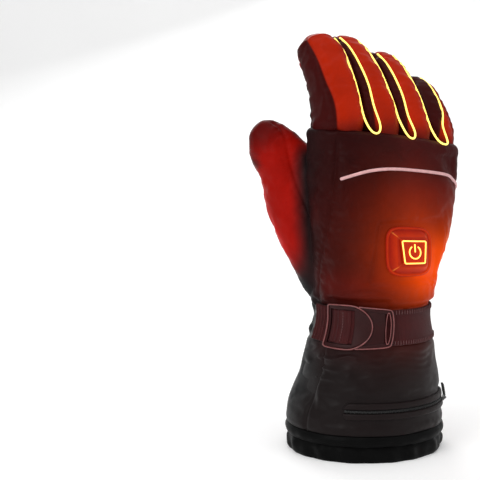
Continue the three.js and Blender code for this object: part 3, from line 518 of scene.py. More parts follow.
def tube_mesh(line, radius, sides=10, round_ends=True):
    """Points and faces of a tube along a line. radius is a number or one for each point."""
    line = np.asarray(line, float)
    radius = np.broadcast_to(np.asarray(radius, float), len(line))
    along = unit(np.gradient(line, axis=0))
    if round_ends:
        caps = np.radians([80, 55, 25])
        first = [line[0] - along[0] * radius[0] * math.sin(cap) for cap in caps]
        last = [line[-1] + along[-1] * radius[-1] * math.sin(cap) for cap in caps[::-1]]
        line = np.concatenate([first, line, last])
        radius = np.concatenate([radius[0] * np.cos(caps), radius, radius[-1] * np.cos(caps[::-1])])
        along = np.concatenate([[along[0]] * 3, along, [along[-1]] * 3])
    side = unit(np.cross(along[0], [0.31, 0.17, 0.93]))
    rings = []
    for middle, heading, size in zip(line, along, radius):
        side = unit(side - heading * (side @ heading))
        other = np.cross(heading, side)
        turn = np.linspace(0, 2 * math.pi, sides, endpoint=False)[:, None]
        rings.append(middle + size * (np.cos(turn) * side + np.sin(turn) * other))
    count = len(rings) * sides
    faces = grid_faces(len(rings), sides).tolist()
    faces += [list(range(sides)), list(range(count - sides, count))]
    return np.concatenate(rings), faces


def joined(shapes):
    """One list of points and faces from several."""
    points, faces, start = [], [], 0
    for shape, its_faces in shapes:
        points.append(shape)
        faces += [[corner + start for corner in face] for face in its_faces]
        start += len(shape)
    return np.concatenate(points), faces


def point_tree(points):
    tree = KDTree(len(points))
    for i, place in enumerate(points):
        tree.insert(place, i)
    tree.balance()
    return tree


def distance_to_line(points, line):
    """Distance of each point to a line of close points, and its place along the line."""
    tree = point_tree(line)
    found = [tree.find(place) for place in points.reshape(-1, 3)]
    steps = steps_along(line)
    distance = np.array([f[2] for f in found]).reshape(points.shape[:-1])
    return distance, steps[[f[1] for f in found]].reshape(points.shape[:-1])


def seam_relief(distance, along, seed=0):
    """Depth of the cloth near a seam: a sewn groove, a puff beside it and small puckers."""
    sizes = bpy.context.scene.glove_sizes
    groove = -sizes.seam_depth / MM * hill(distance, 1.3)
    puff = sizes.puff / MM * (1 - hill(distance, 6.0))
    uneven = np.sin(along * (2 * math.pi / 5.2) + 2.3 * np.sin(along / 7.1 + seed) + seed)
    pucker = 0.22 * uneven * distance * hill(distance, 4.0) * 0.5
    return groove + puff + pucker


# Cloth simulation of the padding. The filling presses the cloth out between its seams.

CLOTH_FRAMES = 20
CLOTH_SPARE = 0.045
CLOTH_LIMIT = 1.3
FINGER_TRIAL_SIDES = 40
CUFF_TRIAL_SIDES = 130


def pressed_out(points, faces, held, pressure):
    """How far in millimetres the filling moves each point of the cloth outwards.

    Points that are held stay. The cloth has a little length to spare, so it also puckers.
    """
    mesh = bpy.data.meshes.new("trial")
    mesh.from_pydata((points * MM).tolist(), [], faces)
    work = bmesh.new()
    work.from_mesh(mesh)
    bmesh.ops.recalc_face_normals(work, faces=work.faces)
    work.to_mesh(mesh)
    work.free()
    _, normals = mesh_arrays(mesh)
    cloth = bpy.data.objects.new("trial", mesh)
    scene = bpy.context.scene
    scene.collection.objects.link(cloth)
    cloth.vertex_groups.new(name="held").add(np.flatnonzero(held).tolist(), 1.0, "REPLACE")
    settings = cloth.modifiers.new("filling", "CLOTH").settings
    settings.use_pressure = True
    settings.uniform_pressure_force = pressure
    settings.vertex_group_mass = "held"
    settings.shrink_min = -CLOTH_SPARE
    settings.effector_weights.gravity = 0
    for frame_number in range(1, CLOTH_FRAMES + 1):
        scene.frame_set(frame_number)
    moved, _ = mesh_arrays(cloth.evaluated_get(bpy.context.evaluated_depsgraph_get()).data)
    lift = np.sum((moved / MM - points) * normals, axis=-1)
    bpy.data.objects.remove(cloth)
    bpy.data.meshes.remove(mesh)
    scene.frame_set(1)
    return CLOTH_LIMIT * np.tanh(lift / CLOTH_LIMIT)


def from_grid(values, places, row, turn):
    """Values of a coarse closed grid at finer rows and turns, smoothed."""
    rows, columns = values.shape
    down = np.interp(row, places, np.arange(rows))
    across = np.mod(turn / (2 * math.pi), 1) * columns
    down, across = np.broadcast_arrays(down, across)
    low = np.minimum(down.astype(int), rows - 2)
    left = across.astype(int) % columns
    right = (left + 1) % columns
    up, along = down - low, across - across.astype(int)
    lower = mix(values[low, left], values[low, right], along)
    fine = mix(lower, mix(values[low + 1, left], values[low + 1, right], along), up)
    for _ in range(4):
        fine = (np.roll(fine, 1, 1) + 2 * fine + np.roll(fine, -1, 1)) / 4
        fine[1:-1] = (fine[:-2] + 2 * fine[1:-1] + fine[2:]) / 4
    return fine


def carried_over(points, coarse, values):
    """Values of coarse points at finer points near them."""
    tree = point_tree(coarse)
    result = np.empty(len(points))
    for i, place in enumerate(points):
        near = tree.find_n(place, 5)
        weights = [1 / (distance + 1.0) ** 2 for _, _, distance in near]
        result[i] = sum(w * values[j] for w, (_, j, _) in zip(weights, near)) / sum(weights)
    return result


# Sizes and colours that a user may change


def linear(code):
    """Linear colour of an sRGB hex value."""
    parts = [int(code[i : i + 2], 16) / 255 for i in (1, 3, 5)]
    return tuple(part / 12.92 if part <= 0.04045 else ((part + 0.055) / 1.055) ** 2.4 for part in parts)


def length(name, description, default):
    return bpy.props.FloatProperty(
        name=name, description=description, default=default, unit="LENGTH", precision=4
    )


def colour(name, description, code):
    return bpy.props.FloatVectorProperty(
        name=name, description=description, default=linear(code), subtype="COLOR"
    )


class GLOVE_PG_sizes(bpy.types.PropertyGroup):
    voxel: length("Cloth grain", "Edge length of the joined hand's cloth mesh", 0.0011)
    seam_depth: length("Seam depth", "How deep a sewn seam draws the padding in", 0.0011)
    puff: length("Puff", "How far the padding swells between its seams", 0.0007)
    wrinkle: length("Wrinkles", "Height of the small wrinkles of the shell cloth", 0.00055)
    gather: length("Gathers", "Height of the elastic's gathers at the wrist and hem", 0.0018)


class GLOVE_PG_colours(bpy.types.PropertyGroup):
    finger_back: colour("Finger backs", "Warm cloth on the backs of the fingers", "#8c1a04")
    finger_side: colour("Finger sides", "Shaded cloth between the fingers", "#380908")
    heated_palm: colour("Fingertips", "Heated cloth on the palm's side", "#960805")
    thumb: colour("Thumb", "Warm cloth of the thumb", "#7c0a04")
    knuckles: colour("Knuckles", "Cloth at the knuckles", "#3a0e0e")
    hand_back: colour("Back of the hand", "Cloth of the back of the hand", "#500d0a")
    # painted orange glow of the cloth round the badge
    badge_warmth: colour("Warmth", "Cloth round the lit badge", "#b03400")
    # painted shade: darkens the back beside the thumb and the thumb's tip
    shade: colour("Thumb's side", "Cloth of the back beside the thumb", "#240707")
    wrist: colour("Wrist", "Cloth behind the strap", "#2a0a0a")
    cuff: colour("Cuff", "Cloth of the cuff", "#150e0e")
    palm: colour("Palm", "Cloth of the palm", "#17191a")
    hem: colour("Hem", "Rolled and gathered edge", "#090909")
    # also painted as a faint yellow glow rim beside the badge
    light: colour("Lights", "Heating wire and lit key", "#fff2a0")


# Materials


NOISE = "ShaderNodeTexNoise"
WAVE = "ShaderNodeTexWave"
RANGE = "ShaderNodeMapRange"
VECTOR_MATH = "ShaderNodeVectorMath"
PLACE = "ShaderNodeTexCoord"
ATTRIBUTE = "ShaderNodeAttribute"
SCALE = {"operation": "SCALE"}
MULTIPLY = {"operation": "MULTIPLY"}
TINT = {"attribute_name": "tint"}
GLOW = {"attribute_name": "glow"}
CLOTH_PLACE = {"attribute_name": "cloth_place"}


def node(tree, kind, settings=None, links=None, output="Fac"):
    """Add a node with its settings, its inputs set or linked. Gives the output that is named."""
    made = tree.nodes.new(kind)
    for key, value in (settings or {}).items():
        setattr(made, key, value)
    for key, value in (links or {}).items():
        socket = made.inputs[key]
        if isinstance(value, bpy.types.NodeSocket):
            tree.links.new(value, socket)
        else:
            socket.default_value = value
    return made.outputs[output]


def new_material(name, **values):
    """A material's tree and shader, with constants set on the shader's own sockets."""
    material = bpy.data.materials.new(name)
    material.use_nodes = True
    shader = material.node_tree.nodes["Principled BSDF"]
    for key, value in values.items():
        socket = shader.inputs[key.replace("_", " ")]
        socket.default_value = (*value, 1.0) if socket.type == "RGBA" else value
    return material.node_tree, shader


def finish_material(tree, shader, inputs, bumps):
    """Link a shader's inputs, and bumps of several heights with depths in millimetres."""
    links = {"Strength": 1.0}
    for height, depth_mm in bumps:
        links.update({"Height": height, "Distance": depth_mm * MM})
        links["Normal"] = node(tree, "ShaderNodeBump", None, links, "Normal")
    for key, value in {**inputs, "Normal": links["Normal"]}.items():
        tree.links.new(value, shader.inputs[key])


def blotches(place, size_mm, detail=4.0):
    """Inputs of soft noise whose blotches are about a size in millimetres."""
    return {"Vector": place, "Scale": 1 / (size_mm * MM), "Detail": detail}


def ridges(place, spacing_mm, distortion=0.0):
    """Inputs of even waves a spacing in millimetres apart, pi / 10 at a scale of one."""
    return {"Vector": place, "Scale": math.pi / 10 / (spacing_mm * MM), "Distortion": distortion}


def spread(value, low, high, from_low=0.3, from_high=0.7):
    """Inputs that spread a value over a range. Soft noise lies mostly between 0.3 and 0.7."""
    return {"Value": value, "From Min": from_low, "From Max": from_high, "To Min": low, "To Max": high}


def woven_nylon_taffeta(name, shine):
    """Nylon taffeta, woven fine and coated, sewn over padding.

    The eye sees a smooth dark cloth with a soft broad shine along its puffs and fine crinkles.
    Where it is calendered, pressed hot between rollers, it shines more.
    """
    tree, shader = new_material(name, IOR=shine, Specular_IOR_Level=0.5, Emission_Strength=1.0)
    place = node(tree, PLACE, output="Object")
    tint = node(tree, ATTRIBUTE, TINT, output="Color")
    glow = node(tree, ATTRIBUTE, GLOW)
    blotch = node(tree, NOISE, None, blotches(place, 22, 3.0))
    uneven = node(tree, RANGE, None, spread(blotch, 0.9, 1.1), "Result")
    cloth = node(tree, VECTOR_MATH, SCALE, {0: tint, "Scale": uneven}, "Vector")
    # painted glow: the cloth gives out its own tint as light where its glow attribute is set
    light = node(tree, VECTOR_MATH, SCALE, {0: cloth, "Scale": glow}, "Vector")
    lying = node(tree, VECTOR_MATH, MULTIPLY, {0: place, 1: (1.0, 1.0, 1.7)}, "Vector")
    crinkle = node(tree, NOISE, None, blotches(lying, 7, 5.0))
    rough = node(tree, RANGE, None, spread(crinkle, 0.4, 0.54), "Result")
    # the threads are 0.2 mm apart and drawn at 0.8 mm, because finer ones don't show
    standing = node(tree, VECTOR_MATH, MULTIPLY, {0: place, 1: (1.0, 1.0, 0.35)}, "Vector")
    threads = node(tree, NOISE, None, blotches(standing, 0.8, 2.0))
    inputs = {"Base Color": cloth, "Emission Color": light, "Roughness": rough}
    finish_material(tree, shader, inputs, [(threads, 0.03), (crinkle, 0.16)])


def stitched_webbing(name, code, spacing_mm=1.1):
    """Webbing of nylon, woven in fine ribs, or of polyester, braided in coarser ones.

    The eye sees a matt strap with faint even ribs.
    """
    tree, shader = new_material(
        name, Roughness=0.7, IOR=1.5, Specular_IOR_Level=0.2, Sheen_Weight=0.04, Sheen_Roughness=0.5
    )
    place = node(tree, ATTRIBUTE, CLOTH_PLACE, output="Vector")
    # ribs are 0.5 mm apart and drawn at least twice as coarse, so that they show
    rib = node(tree, WAVE, {"bands_direction": "X"}, ridges(place, spacing_mm, 0.3))
    weft = node(tree, WAVE, {"bands_direction": "Y"}, ridges(place, spacing_mm * 0.8, 0.3))
    blotch = node(tree, NOISE, None, blotches(place, 9, 3.0))
    ribbed = node(tree, RANGE, None, spread(rib, 0.78, 1.16, 0, 1), "Result")
    uneven = node(tree, RANGE, None, spread(blotch, 0.85, 1.15), "Result")
    shade = node(tree, "ShaderNodeMath", MULTIPLY, {0: ribbed, 1: uneven}, "Value")
    cloth = node(tree, VECTOR_MATH, SCALE, {0: linear(code), "Scale": shade}, "Vector")
    finish_material(tree, shader, {"Base Color": cloth}, [(rib, 0.18), (weft, 0.1)])


def grained(name, code, roughness, grain_mm=2.0, depth_mm=0.05, shade=(0.88, 1.12), **values):
    """A moulded, painted, spun or pressed surface with a fine uneven grain."""
    tree, shader = new_material(name, Roughness=roughness, **values)
    place = node(tree, PLACE, output="Object")
    grain = node(tree, NOISE, None, blotches(place, grain_mm))
    blotch = node(tree, NOISE, None, blotches(place, grain_mm * 5, 3.0))
    uneven = node(tree, RANGE, None, spread(blotch, *shade), "Result")
    surface = node(tree, VECTOR_MATH, SCALE, {0: linear(code), "Scale": uneven}, "Vector")
    finish_material(tree, shader, {"Base Color": surface}, [(grain, depth_mm)])


def embossed_grip_leather():
    """Polyurethane leather, embossed with a fine diagonal net of dots.

    The eye sees a dark grey patch whose dots catch small even lights.
    """
    tree, shader = new_material("embossed_grip_leather", Roughness=0.5, IOR=1.5)
    place = node(tree, ATTRIBUTE, CLOTH_PLACE, output="Vector")
    diagonal = {"Vector": place, "Angle": math.radians(40)}
    turned = node(tree, "ShaderNodeVectorRotate", {"rotation_type": "Z_AXIS"}, diagonal, "Vector")
    # dots are 1.7 mm apart
    first = node(tree, WAVE, {"bands_direction": "X"}, ridges(turned, 1.7))
    second = node(tree, WAVE, {"bands_direction": "Y"}, ridges(turned, 1.7))
    dots = node(tree, "ShaderNodeMath", MULTIPLY, {0: first, 1: second}, "Value")
    grain = node(tree, NOISE, None, blotches(place, 1.5))
    # painted highlight and shade: the raised dots are painted lighter and the hollows between them darker
    shade = node(tree, RANGE, None, spread(dots, 0.4, 1.6, 0.1, 0.9), "Result")
    leather = node(tree, VECTOR_MATH, SCALE, {0: linear("#1d1f20"), "Scale": shade}, "Vector")
    finish_material(tree, shader, {"Base Color": leather}, [(grain, 0.05), (dots, 0.3)])


def moulded_silicone():
    """Silicone rubber, moulded in one piece with the key's skin, with a painted glow as if lit from behind.

    The eye sees a soft satin rubber with a painted orange glow, brighter where it is thin.
    """
    tree, shader = new_material("moulded_silicone", Roughness=0.38, IOR=1.2, Emission_Strength=1.0)
    place = node(tree, PLACE, output="Object")
    tint = node(tree, ATTRIBUTE, TINT, output="Color")
    glow = node(tree, ATTRIBUTE, GLOW)
    blotch = node(tree, NOISE, None, blotches(place, 6, 3.0))
    grain = node(tree, NOISE, None, blotches(place, 0.9))
    uneven = node(tree, RANGE, None, spread(blotch, 0.92, 1.08), "Result")
    rubber = node(tree, VECTOR_MATH, SCALE, {0: tint, "Scale": uneven}, "Vector")
    light = node(tree, VECTOR_MATH, SCALE, {0: rubber, "Scale": glow}, "Vector")
    finish_material(tree, shader, {"Base Color": rubber, "Emission Color": light}, [(grain, 0.03)])


def lit_diffuser(name, code, strength):
    """Polymer, extruded or moulded milky, giving out light. The eye sees an even bright line of light,
    which on the heating wire is painted glow.
    """
    tree, shader = new_material(
        name, Base_Color=linear(code), Roughness=0.4, IOR=1.46, Emission_Strength=strength
    )
    place = node(tree, PLACE, output="Object")
    blotch = node(tree, NOISE, None, blotches(place, 8, 2.0))
    grain = node(tree, NOISE, None, blotches(place, 1.0))
    uneven = node(tree, RANGE, None, spread(blotch, 0.9, 1.1), "Result")
    light = node(tree, VECTOR_MATH, SCALE, {0: linear(code), "Scale": uneven}, "Vector")
    finish_material(tree, shader, {"Emission Color": light}, [(grain, 0.02)])


def make_materials():
    woven_nylon_taffeta("woven_nylon_taffeta", 1.13)
    woven_nylon_taffeta("calendered_nylon_taffeta", 1.21)
    stitched_webbing("woven_strap_webbing", "#3c0709")
    stitched_webbing("woven_black_webbing", "#111111")
    stitched_webbing("braided_polyester_pull", "#2a2a2a", 1.6)
    embossed_grip_leather()
    moulded_silicone()
    # heating wire drawn as a yellow line of painted glow, and the key's lit outline
    lit_diffuser("extruded_wire_diffuser", "#ffe169", 1.5)
    lit_diffuser("moulded_key_diffuser", "#ffcf5a", 1.6)
    # reflective film pressed over piping, a pale silver painted pinkish as a painted reflection of the red
    # glow
    grained("pressed_reflective_film", "#d8a3a3", 0.34, 0.8, 0.03, IOR=1.5, Specular_IOR_Level=0.7)
    # acetal, injection moulded with a satin face, and its edges painted paler as painted highlights
    grained("moulded_satin_acetal", "#2a0708", 0.42, 1.5, 0.03, IOR=1.48, Specular_IOR_Level=0.2)
    grained("rubbed_acetal_edge", "#7d4443", 0.36, 1.0, 0.03, (0.7, 1.3), IOR=1.48)
    # nylon, injection moulded, black and slightly shiny
    grained("moulded_black_nylon", "#0e0e0e", 0.36, 1.2, 0.04, IOR=1.53)
    # zinc, cast and painted black
    grained("painted_cast_zinc", "#101011", 0.3, 0.8, 0.02, IOR=1.5, Coat_Weight=0.4)
    # sewing thread, spun from polyester
    grained("spun_dark_thread", "#5a2b2b", 0.7, 0.5, 0.05, Sheen_Weight=0.3)
    grained("spun_black_thread", "#2b2c2d", 0.65, 0.5, 0.05, Sheen_Weight=0.3)
    grained("spun_pale_thread", "#8d8d8d", 0.65, 0.5, 0.05, Sheen_Weight=0.3)
    # polyester cord, braided
    grained("braided_polyester_cord", "#0f0f0f", 0.55, 0.9, 0.25, Sheen_Weight=0.3)


# Colour of the cloth. The heat is shown in it as a painted red and orange glow.


# middles of the painted glow from the badge's middle, in millimetres
GLOW_CORE = (20, 8, -14)
GLOW_EDGE = (50, 30, -12)


def colours():
    picked = bpy.context.scene.glove_colours
    return {key: np.array(getattr(picked, key)) for key in GLOVE_PG_colours.__annotations__}


def step(value, low, high):
    """0 below low, 1 above high and smooth between. low may be the larger."""
    share = np.clip((value - low) / (high - low), 0, 1)
    return share * share * (3 - 2 * share)


def blend_colours(base, colour_over, weight):
    return base + (colour_over - base) * np.asarray(weight)[..., None]


def badge_middle():
    return back_point(np.float64(BADGE_ACROSS), np.float64(WRIST_TOP + BADGE_UP), 3.0)


def panel_edge(index, share):
    """Turn of the seam at the thumb's side of a finger's back."""
    if index == 0:
        return smooth(INDEX_EDGE, "turn", np.clip(share, 0, 1))
    return mix(-40, FINGERS[index]["edge"], np.clip(share / 0.4, 0, 1))


def body_turn(points):
    section = body_section(points[..., 2])
    return np.arctan2(points[..., 0] - section["x"], section["y"] - points[..., 1])


def back_weight(turn):
    """1 on the back and 0 on the palm's side."""
    return step(np.abs(np.degrees(turn)), 125, 80)


def body_colour(points):
    """Tint and glow of the body's cloth, with painted shade beside the thumb and a painted glow round the
    badge.
    """
    paint = colours()
    z = points[..., 2]
    turn = body_turn(points)
    back = back_weight(turn)
    tint = np.broadcast_to(paint["hand_back"], points.shape).copy()
    tint = blend_colours(tint, paint["knuckles"], step(z, 196, 214))
    # painted shade on the back of the hand beside the thumb
    shade_beside_thumb = step(np.degrees(turn), 2, -58) * step(z, 120, 150)
    tint = blend_colours(tint, paint["shade"], 0.85 * shade_beside_thumb)
    tint = blend_colours(tint, paint["wrist"], step(z, 138, 112))
    tint = blend_colours(tint, paint["cuff"], step(z, 102, 62))
    warmth = painted_glow_at(points)
    # painted glow: the cloth round the badge is painted orange, and the same weight makes it give out light
    tint = blend_colours(tint, paint["badge_warmth"], np.clip(1.1 * warmth, 0, 1))
    # painted highlight: a faint yellow glow rim at the painted glow's edge, in the lights' colour
    glow_rim = hill(np.linalg.norm((points - badge_middle() - GLOW_EDGE) * [1, 0.8, 0.5], axis=-1), 13)
    tint = blend_colours(tint, paint["light"], 0.12 * glow_rim)
    tint = blend_colours(tint, paint["palm"], 1 - back)
    tint = blend_colours(tint, paint["hem"], step(z, CUFF_BOTTOM + 0.6, CUFF_BOTTOM))
    return tint, 1.1 * warmth * back


def painted_glow_at(points):
    """Painted glow that stands for the heat, most of it at the badge's lower side."""
    away = points - badge_middle()
    core = hill(np.linalg.norm((away - GLOW_CORE) * [1, 0.6, 1.0], axis=-1), 27)
    glow_rim = hill(np.linalg.norm((away - GLOW_EDGE) * [1.0, 0.6, 0.6], axis=-1), 19)
    halo = 0.4 * hill(np.linalg.norm(away * [1, 1, 0.8], axis=-1), 38)
    return np.clip(0.75 * core + 0.9 * glow_rim + halo, 0, 1)


def beyond_body(points):
    """How far out points lie, where 1 is the body's own outside."""
    section = body_section(points[..., 2])
    across = np.abs(points[..., 0] - section["x"]) / section["width"]
    deep = np.abs(points[..., 1] - section["y"] - section["arch"] * np.minimum(across, 1) ** 2)
    deep = deep / section["depth"]
    return (across ** section["square"] + deep ** section["square"]) ** (1 / section["square"])


def thumb_colour(points, tint, glow):
    """The thumb's red over the body's colours, with painted shade over its tip and at its base."""
    paint = colours()
    shares = np.linspace(0, 1, 120)
    middle = (thumb_point(shares, 0.0) + thumb_point(shares, math.pi)) / 2
    distance, along = distance_to_line(points, middle)
    share = along / along.max()
    palmward = points[..., 1] - np.interp(share, shares, middle[:, 1])
    red = blend_colours(
        np.broadcast_to(paint["thumb"], points.shape), paint["heated_palm"], step(palmward, 4, 14)
    )
    # painted shade over the thumb's tip
    red = blend_colours(red, paint["shade"], 0.6 * step(share, 0.86, 1.0))
    reach = distance / (THUMB_WIDTH / 2 * smooth(THUMB_ROWS, "width", share))
    # the red fades out near the body, which leaves painted shade at the thumb's base
    weight = step(share, 0.2, 0.42) * step(reach, 1.2, 1.04) * step(beyond_body(points), 1.03, 1.3)
    return blend_colours(tint, red, weight), np.maximum(glow, 0.55 * weight * step(share, 0.97, 0.8))


def finger_colour(index, share, turn):
    """Tint and glow of a finger's cloth."""
    paint = colours()
    finger = FINGERS[index]
    tint = np.broadcast_to(paint["finger_back"], share.shape + (3,)).copy()
    # painted shade: the backs darken towards their roots at the knuckles
    tint = blend_colours(tint, paint["knuckles"], 0.6 * step(share, 0.2, 0.05))
    degrees = np.degrees(np.arctan2(np.sin(turn), np.cos(turn)))
    edge = panel_edge(index, share)
    side = np.maximum(step(degrees, edge + 2, edge - 4), step(degrees, 44, 58))
    # painted shade: the backs darken round their far side and over their tips
    tint = blend_colours(tint, paint["finger_side"], 0.5 * step(degrees, 8, 48))
    tint = blend_colours(tint, paint["finger_side"], 0.45 * step(share, 0.84, 1.0))
    tint = blend_colours(tint, paint["finger_side"], side * step(share, 0.97, 0.88))
    palm = step(np.abs(degrees), 112, 134)
    hot = blend_colours(
        np.broadcast_to(paint["palm"], tint.shape), paint["heated_palm"], step(share, 0.42, 0.8)
    )
    tint = blend_colours(tint, hot, palm)
    return tint, 0.5 * (1 - side) * (1 - palm) * step(share, 0.0, 0.3)


# Cloth pieces


def bag(name, at, inner, material, colour_of, rows, columns, slot):
    """A finger-shaped bag of padded cloth with an inside, closed at both tips."""
    turns = np.linspace(0, 2 * math.pi, columns, endpoint=False)[None]
    inside = np.linspace(rows[-1], rows[0], 16)[:, None]
    outside = np.asarray(rows)[:, None]
    shares = np.concatenate([inside, outside])
    points = np.concatenate([inner(inside, turns), at(outside, turns)])
    tint, glow = colour_of(shares + 0 * turns, turns + 0 * shares)
    faces = grid_faces(len(shares), columns)
    attributes = {"tint": with_alpha(tint), "glow": glow.ravel()}
    return new_object(name, points, faces, material, attributes, slot, weld=0.02)


def with_alpha(tint):
    flat = tint.reshape(-1, 3)
    return np.concatenate([flat, np.ones((len(flat), 1))], 1)


def ring_wall(name, outer, inner, heights, turns, material, slot):
    """A hollow ring of cloth between two surfaces."""
    heights = np.asarray(heights)[:, None]
    turns = np.asarray(turns)[None]
    inside = heights[::-1][:: max(1, len(heights) // 8)]
    points = np.concatenate([outer(heights, turns), inner(inside, turns)])
    rows = len(heights) + len(inside)
    faces = np.concatenate([grid_faces(rows, turns.size), loop_back(rows, turns.size)])
    tint, glow = body_colour(points)
    return new_object(name, points, faces, material, {"tint": with_alpha(tint), "glow": glow.ravel()}, slot)


def loop_back(rows, columns):
    """Faces from the last row of a grid to its first."""
    last = (rows - 1) * columns + np.arange(columns)
    first = np.arange(columns)
    return np.stack([last, (first + 1) % columns + (rows - 1) * columns, (first + 1) % columns, first], -1)


SINK = 5.0
WEB_RISE = 7.0
FINGER_TURNS = 128


def finger_filling(index):
    """Lift that the filling gives a finger's cloth, on a grid of shares and turns."""
    finger = FINGERS[index]
    shares = np.linspace(0, 0.97, int(finger["reach"] / 2.4))
    turns = np.linspace(0, 2 * math.pi, FINGER_TRIAL_SIDES, endpoint=False)
    share, turn = np.meshgrid(shares, turns, indexing="ij")
    held = (share < 0.12) | (share > 0.94)
    for place in (panel_edge(index, share), 42, -128, 128):
        held |= np.abs(away_from(turn, place)) < math.radians(5)
    points = finger_point(index, share, turn).reshape(-1, 3)
    faces = grid_faces(len(shares), FINGER_TRIAL_SIDES).tolist()
    lift = pressed_out(points, faces, held.ravel(), 2.5)
    return lift.reshape(share.shape), shares


def finger_seams(index, share, turn):
    """Relief of a finger: seams at its panels' edges, a seam round the tip and wrinkles."""
    finger = FINGERS[index]
    sizes = bpy.context.scene.glove_sizes
    radius = finger["width"] / 2
    edge = panel_edge(index, share)
    lift = 0 * share * turn
    for place, end in ((edge, 0.93), (42, 0.93), (-128, 0.8), (128, 0.8)):
        distance = np.abs(away_from(turn, place)) * radius
        sewn = 0.7 * step(share, end + 0.03, end - 0.03)
        lift = lift + sewn * seam_relief(distance, share * finger["reach"], index)
    # the palm panel ends in a curved seam below the fingertip
    palmward = np.abs(away_from(turn, 180)) / math.radians(52)
    distance = (share - 0.86 + 0.08 * palmward**4) * finger["reach"]
    lift = lift - sizes.seam_depth / MM * hill(distance, 1.1) * step(palmward, 1.15, 0.95)
    points = finger_point(index, share, turn)
    crumple = ripple(points, 12, 20 + index, stretch=(1, 1, 0.7)) + 0.3 * creases(points, 17, 40 + index)
    bend = step(np.abs(np.degrees(np.arctan2(np.sin(turn), np.cos(turn)))), 90, 150)
    rows = np.cos(share * finger["reach"] * 2 * math.pi / 11)
    folds = bend * step(share, 0.05, 0.2) * step(share, 0.75, 0.55) * rows
    deep = mix(1.6, finger["tuck"], hill(away_from(turn, -40), 1.0))
    tuck = -deep * step(share * finger["reach"], WEB_RISE + 8, WEB_RISE - 1)
    return lift + tuck + sizes.wrinkle / MM * (0.16 * crumple + 0.9 * folds)


class GLOVE_OT_fingers(bpy.types.Operator):
    """Make the four padded fingers"""

    bl_idname = "glove.fingers"
    bl_label = "Fingers"

    def execute(self, context):
        cloth = bpy.data.materials["woven_nylon_taffeta"]
        for index, finger in enumerate(FINGERS):
            filling, places = finger_filling(index)
            tip = 1 - 0.2 * np.linspace(1, 0, 40)[1:] ** 1.6
            rows = np.concatenate([np.linspace(-SINK / finger["reach"], FINGER_TIP, 90), tip])

            def outer(share, turn, index=index, filling=filling, places=places):
                lift = finger_seams(index, np.clip(share, 0, 1) + 0 * turn, turn + 0 * share)
                return finger_point(index, share, turn, lift + from_grid(filling, places, share, turn))

            def inner(share, turn, index=index):
                return finger_point(index, share, turn, -PADDING)

            def painted(share, turn, index=index):
                return finger_colour(index, share, turn)

            piece = bag(
                f"{finger['name']}_cloth", outer, inner, cloth, painted, rows, FINGER_TURNS, "heated_fabric"
            )
            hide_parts(finger["name"])
        return {"FINISHED"}


# Folds pressed into the hand's cloth: places as height and turn, depth in millimetres
FOLDS = (
    {"depth": 0.8, "places": ((153, -40), (155, -24), (153, -12))},
    {"depth": 0.7, "places": ((146, -46), (147, -30))},
    {"depth": 0.9, "places": ((176, 30), (168, 38), (158, 40), (148, 36))},
    {"depth": 0.8, "places": ((133, 18), (129, 34), (130, 52))},
    {"depth": 0.9, "places": ((124, -70), (127, -40), (123, -12))},
    {"depth": 0.8, "places": ((219, -52), (214, -40), (212, -30))},
    {"depth": 0.6, "places": ((214, 34), (210, 46), (211, 60))},
    {"depth": 1.0, "places": ((222, 150), (220, 170), (221, 196), (219, 214))},
    {"depth": 1.1, "places": ((190, 232), (176, 216), (158, 206), (140, 204))},
    {"depth": 0.9, "places": ((136, 120), (132, 140), (134, 160))},
)

# Places of the hand's seams: height and turn on the body, share and turn on the thumb
SIDE_SEAM = (
    (229, -55), (202, -67.5), (184.6, -73.5), (167, -79), (145.7, -90), (123.5, -98.5), (112, -100)
)
PALM_SEAM = ((122, 152), (136, 150), (143, 146))
HEEL_SEAM = ((114, 212), (130, 216), (146, 224))
THUMB_SEAM = ((0.97, -60), (0.93, -49), (0.8, -7), (0.69, 3), (0.565, 7), (0.45, 8))


def headings(turn):
    """Level headings at a turn: outwards, and along towards the little finger."""
    out = np.array([math.sin(turn), -math.cos(turn), 0])
    return out, np.array([math.cos(turn), math.sin(turn), 0])


def body_line(places, count=160):
    z, turn = np.array(places, float).T
    return smooth_line(body_point(z, np.radians(turn)), count)


def thumb_line(places, count=160):
    share, turn = np.array(places, float).T
    return smooth_line(thumb_point(share, np.radians(turn)), count)


def remeshed(points, faces, voxel):
    """Points and faces of one skin round closed shapes that cross."""
    mesh = bpy.data.meshes.new("raw")
    mesh.from_pydata(points.tolist(), [], faces)
    raw = bpy.data.objects.new("raw", mesh)
    bpy.context.scene.collection.objects.link(raw)
    modifier = raw.modifiers.new("skin", "REMESH")
    modifier.mode = "VOXEL"
    modifier.voxel_size = voxel
    smoother = raw.modifiers.new("smooth", "SMOOTH")
    smoother.factor = 0.5
    smoother.iterations = 8
    result = bpy.data.meshes.new_from_object(raw.evaluated_get(bpy.context.evaluated_depsgraph_get()))
    bpy.data.objects.remove(raw)
    bpy.data.meshes.remove(mesh)
    return result


SKIN_SIDES = 120
HOLLOW_SIDES = 72

# The hand's top edge, which takes in the fingers' roots, up from the knuckles
HAND_TOP_ROWS = {"up": (2.0, 4.0, 5.6, 6.8, 7.6), "lift": (0.4, 0.6, 0.3, -0.8, -3.0)}


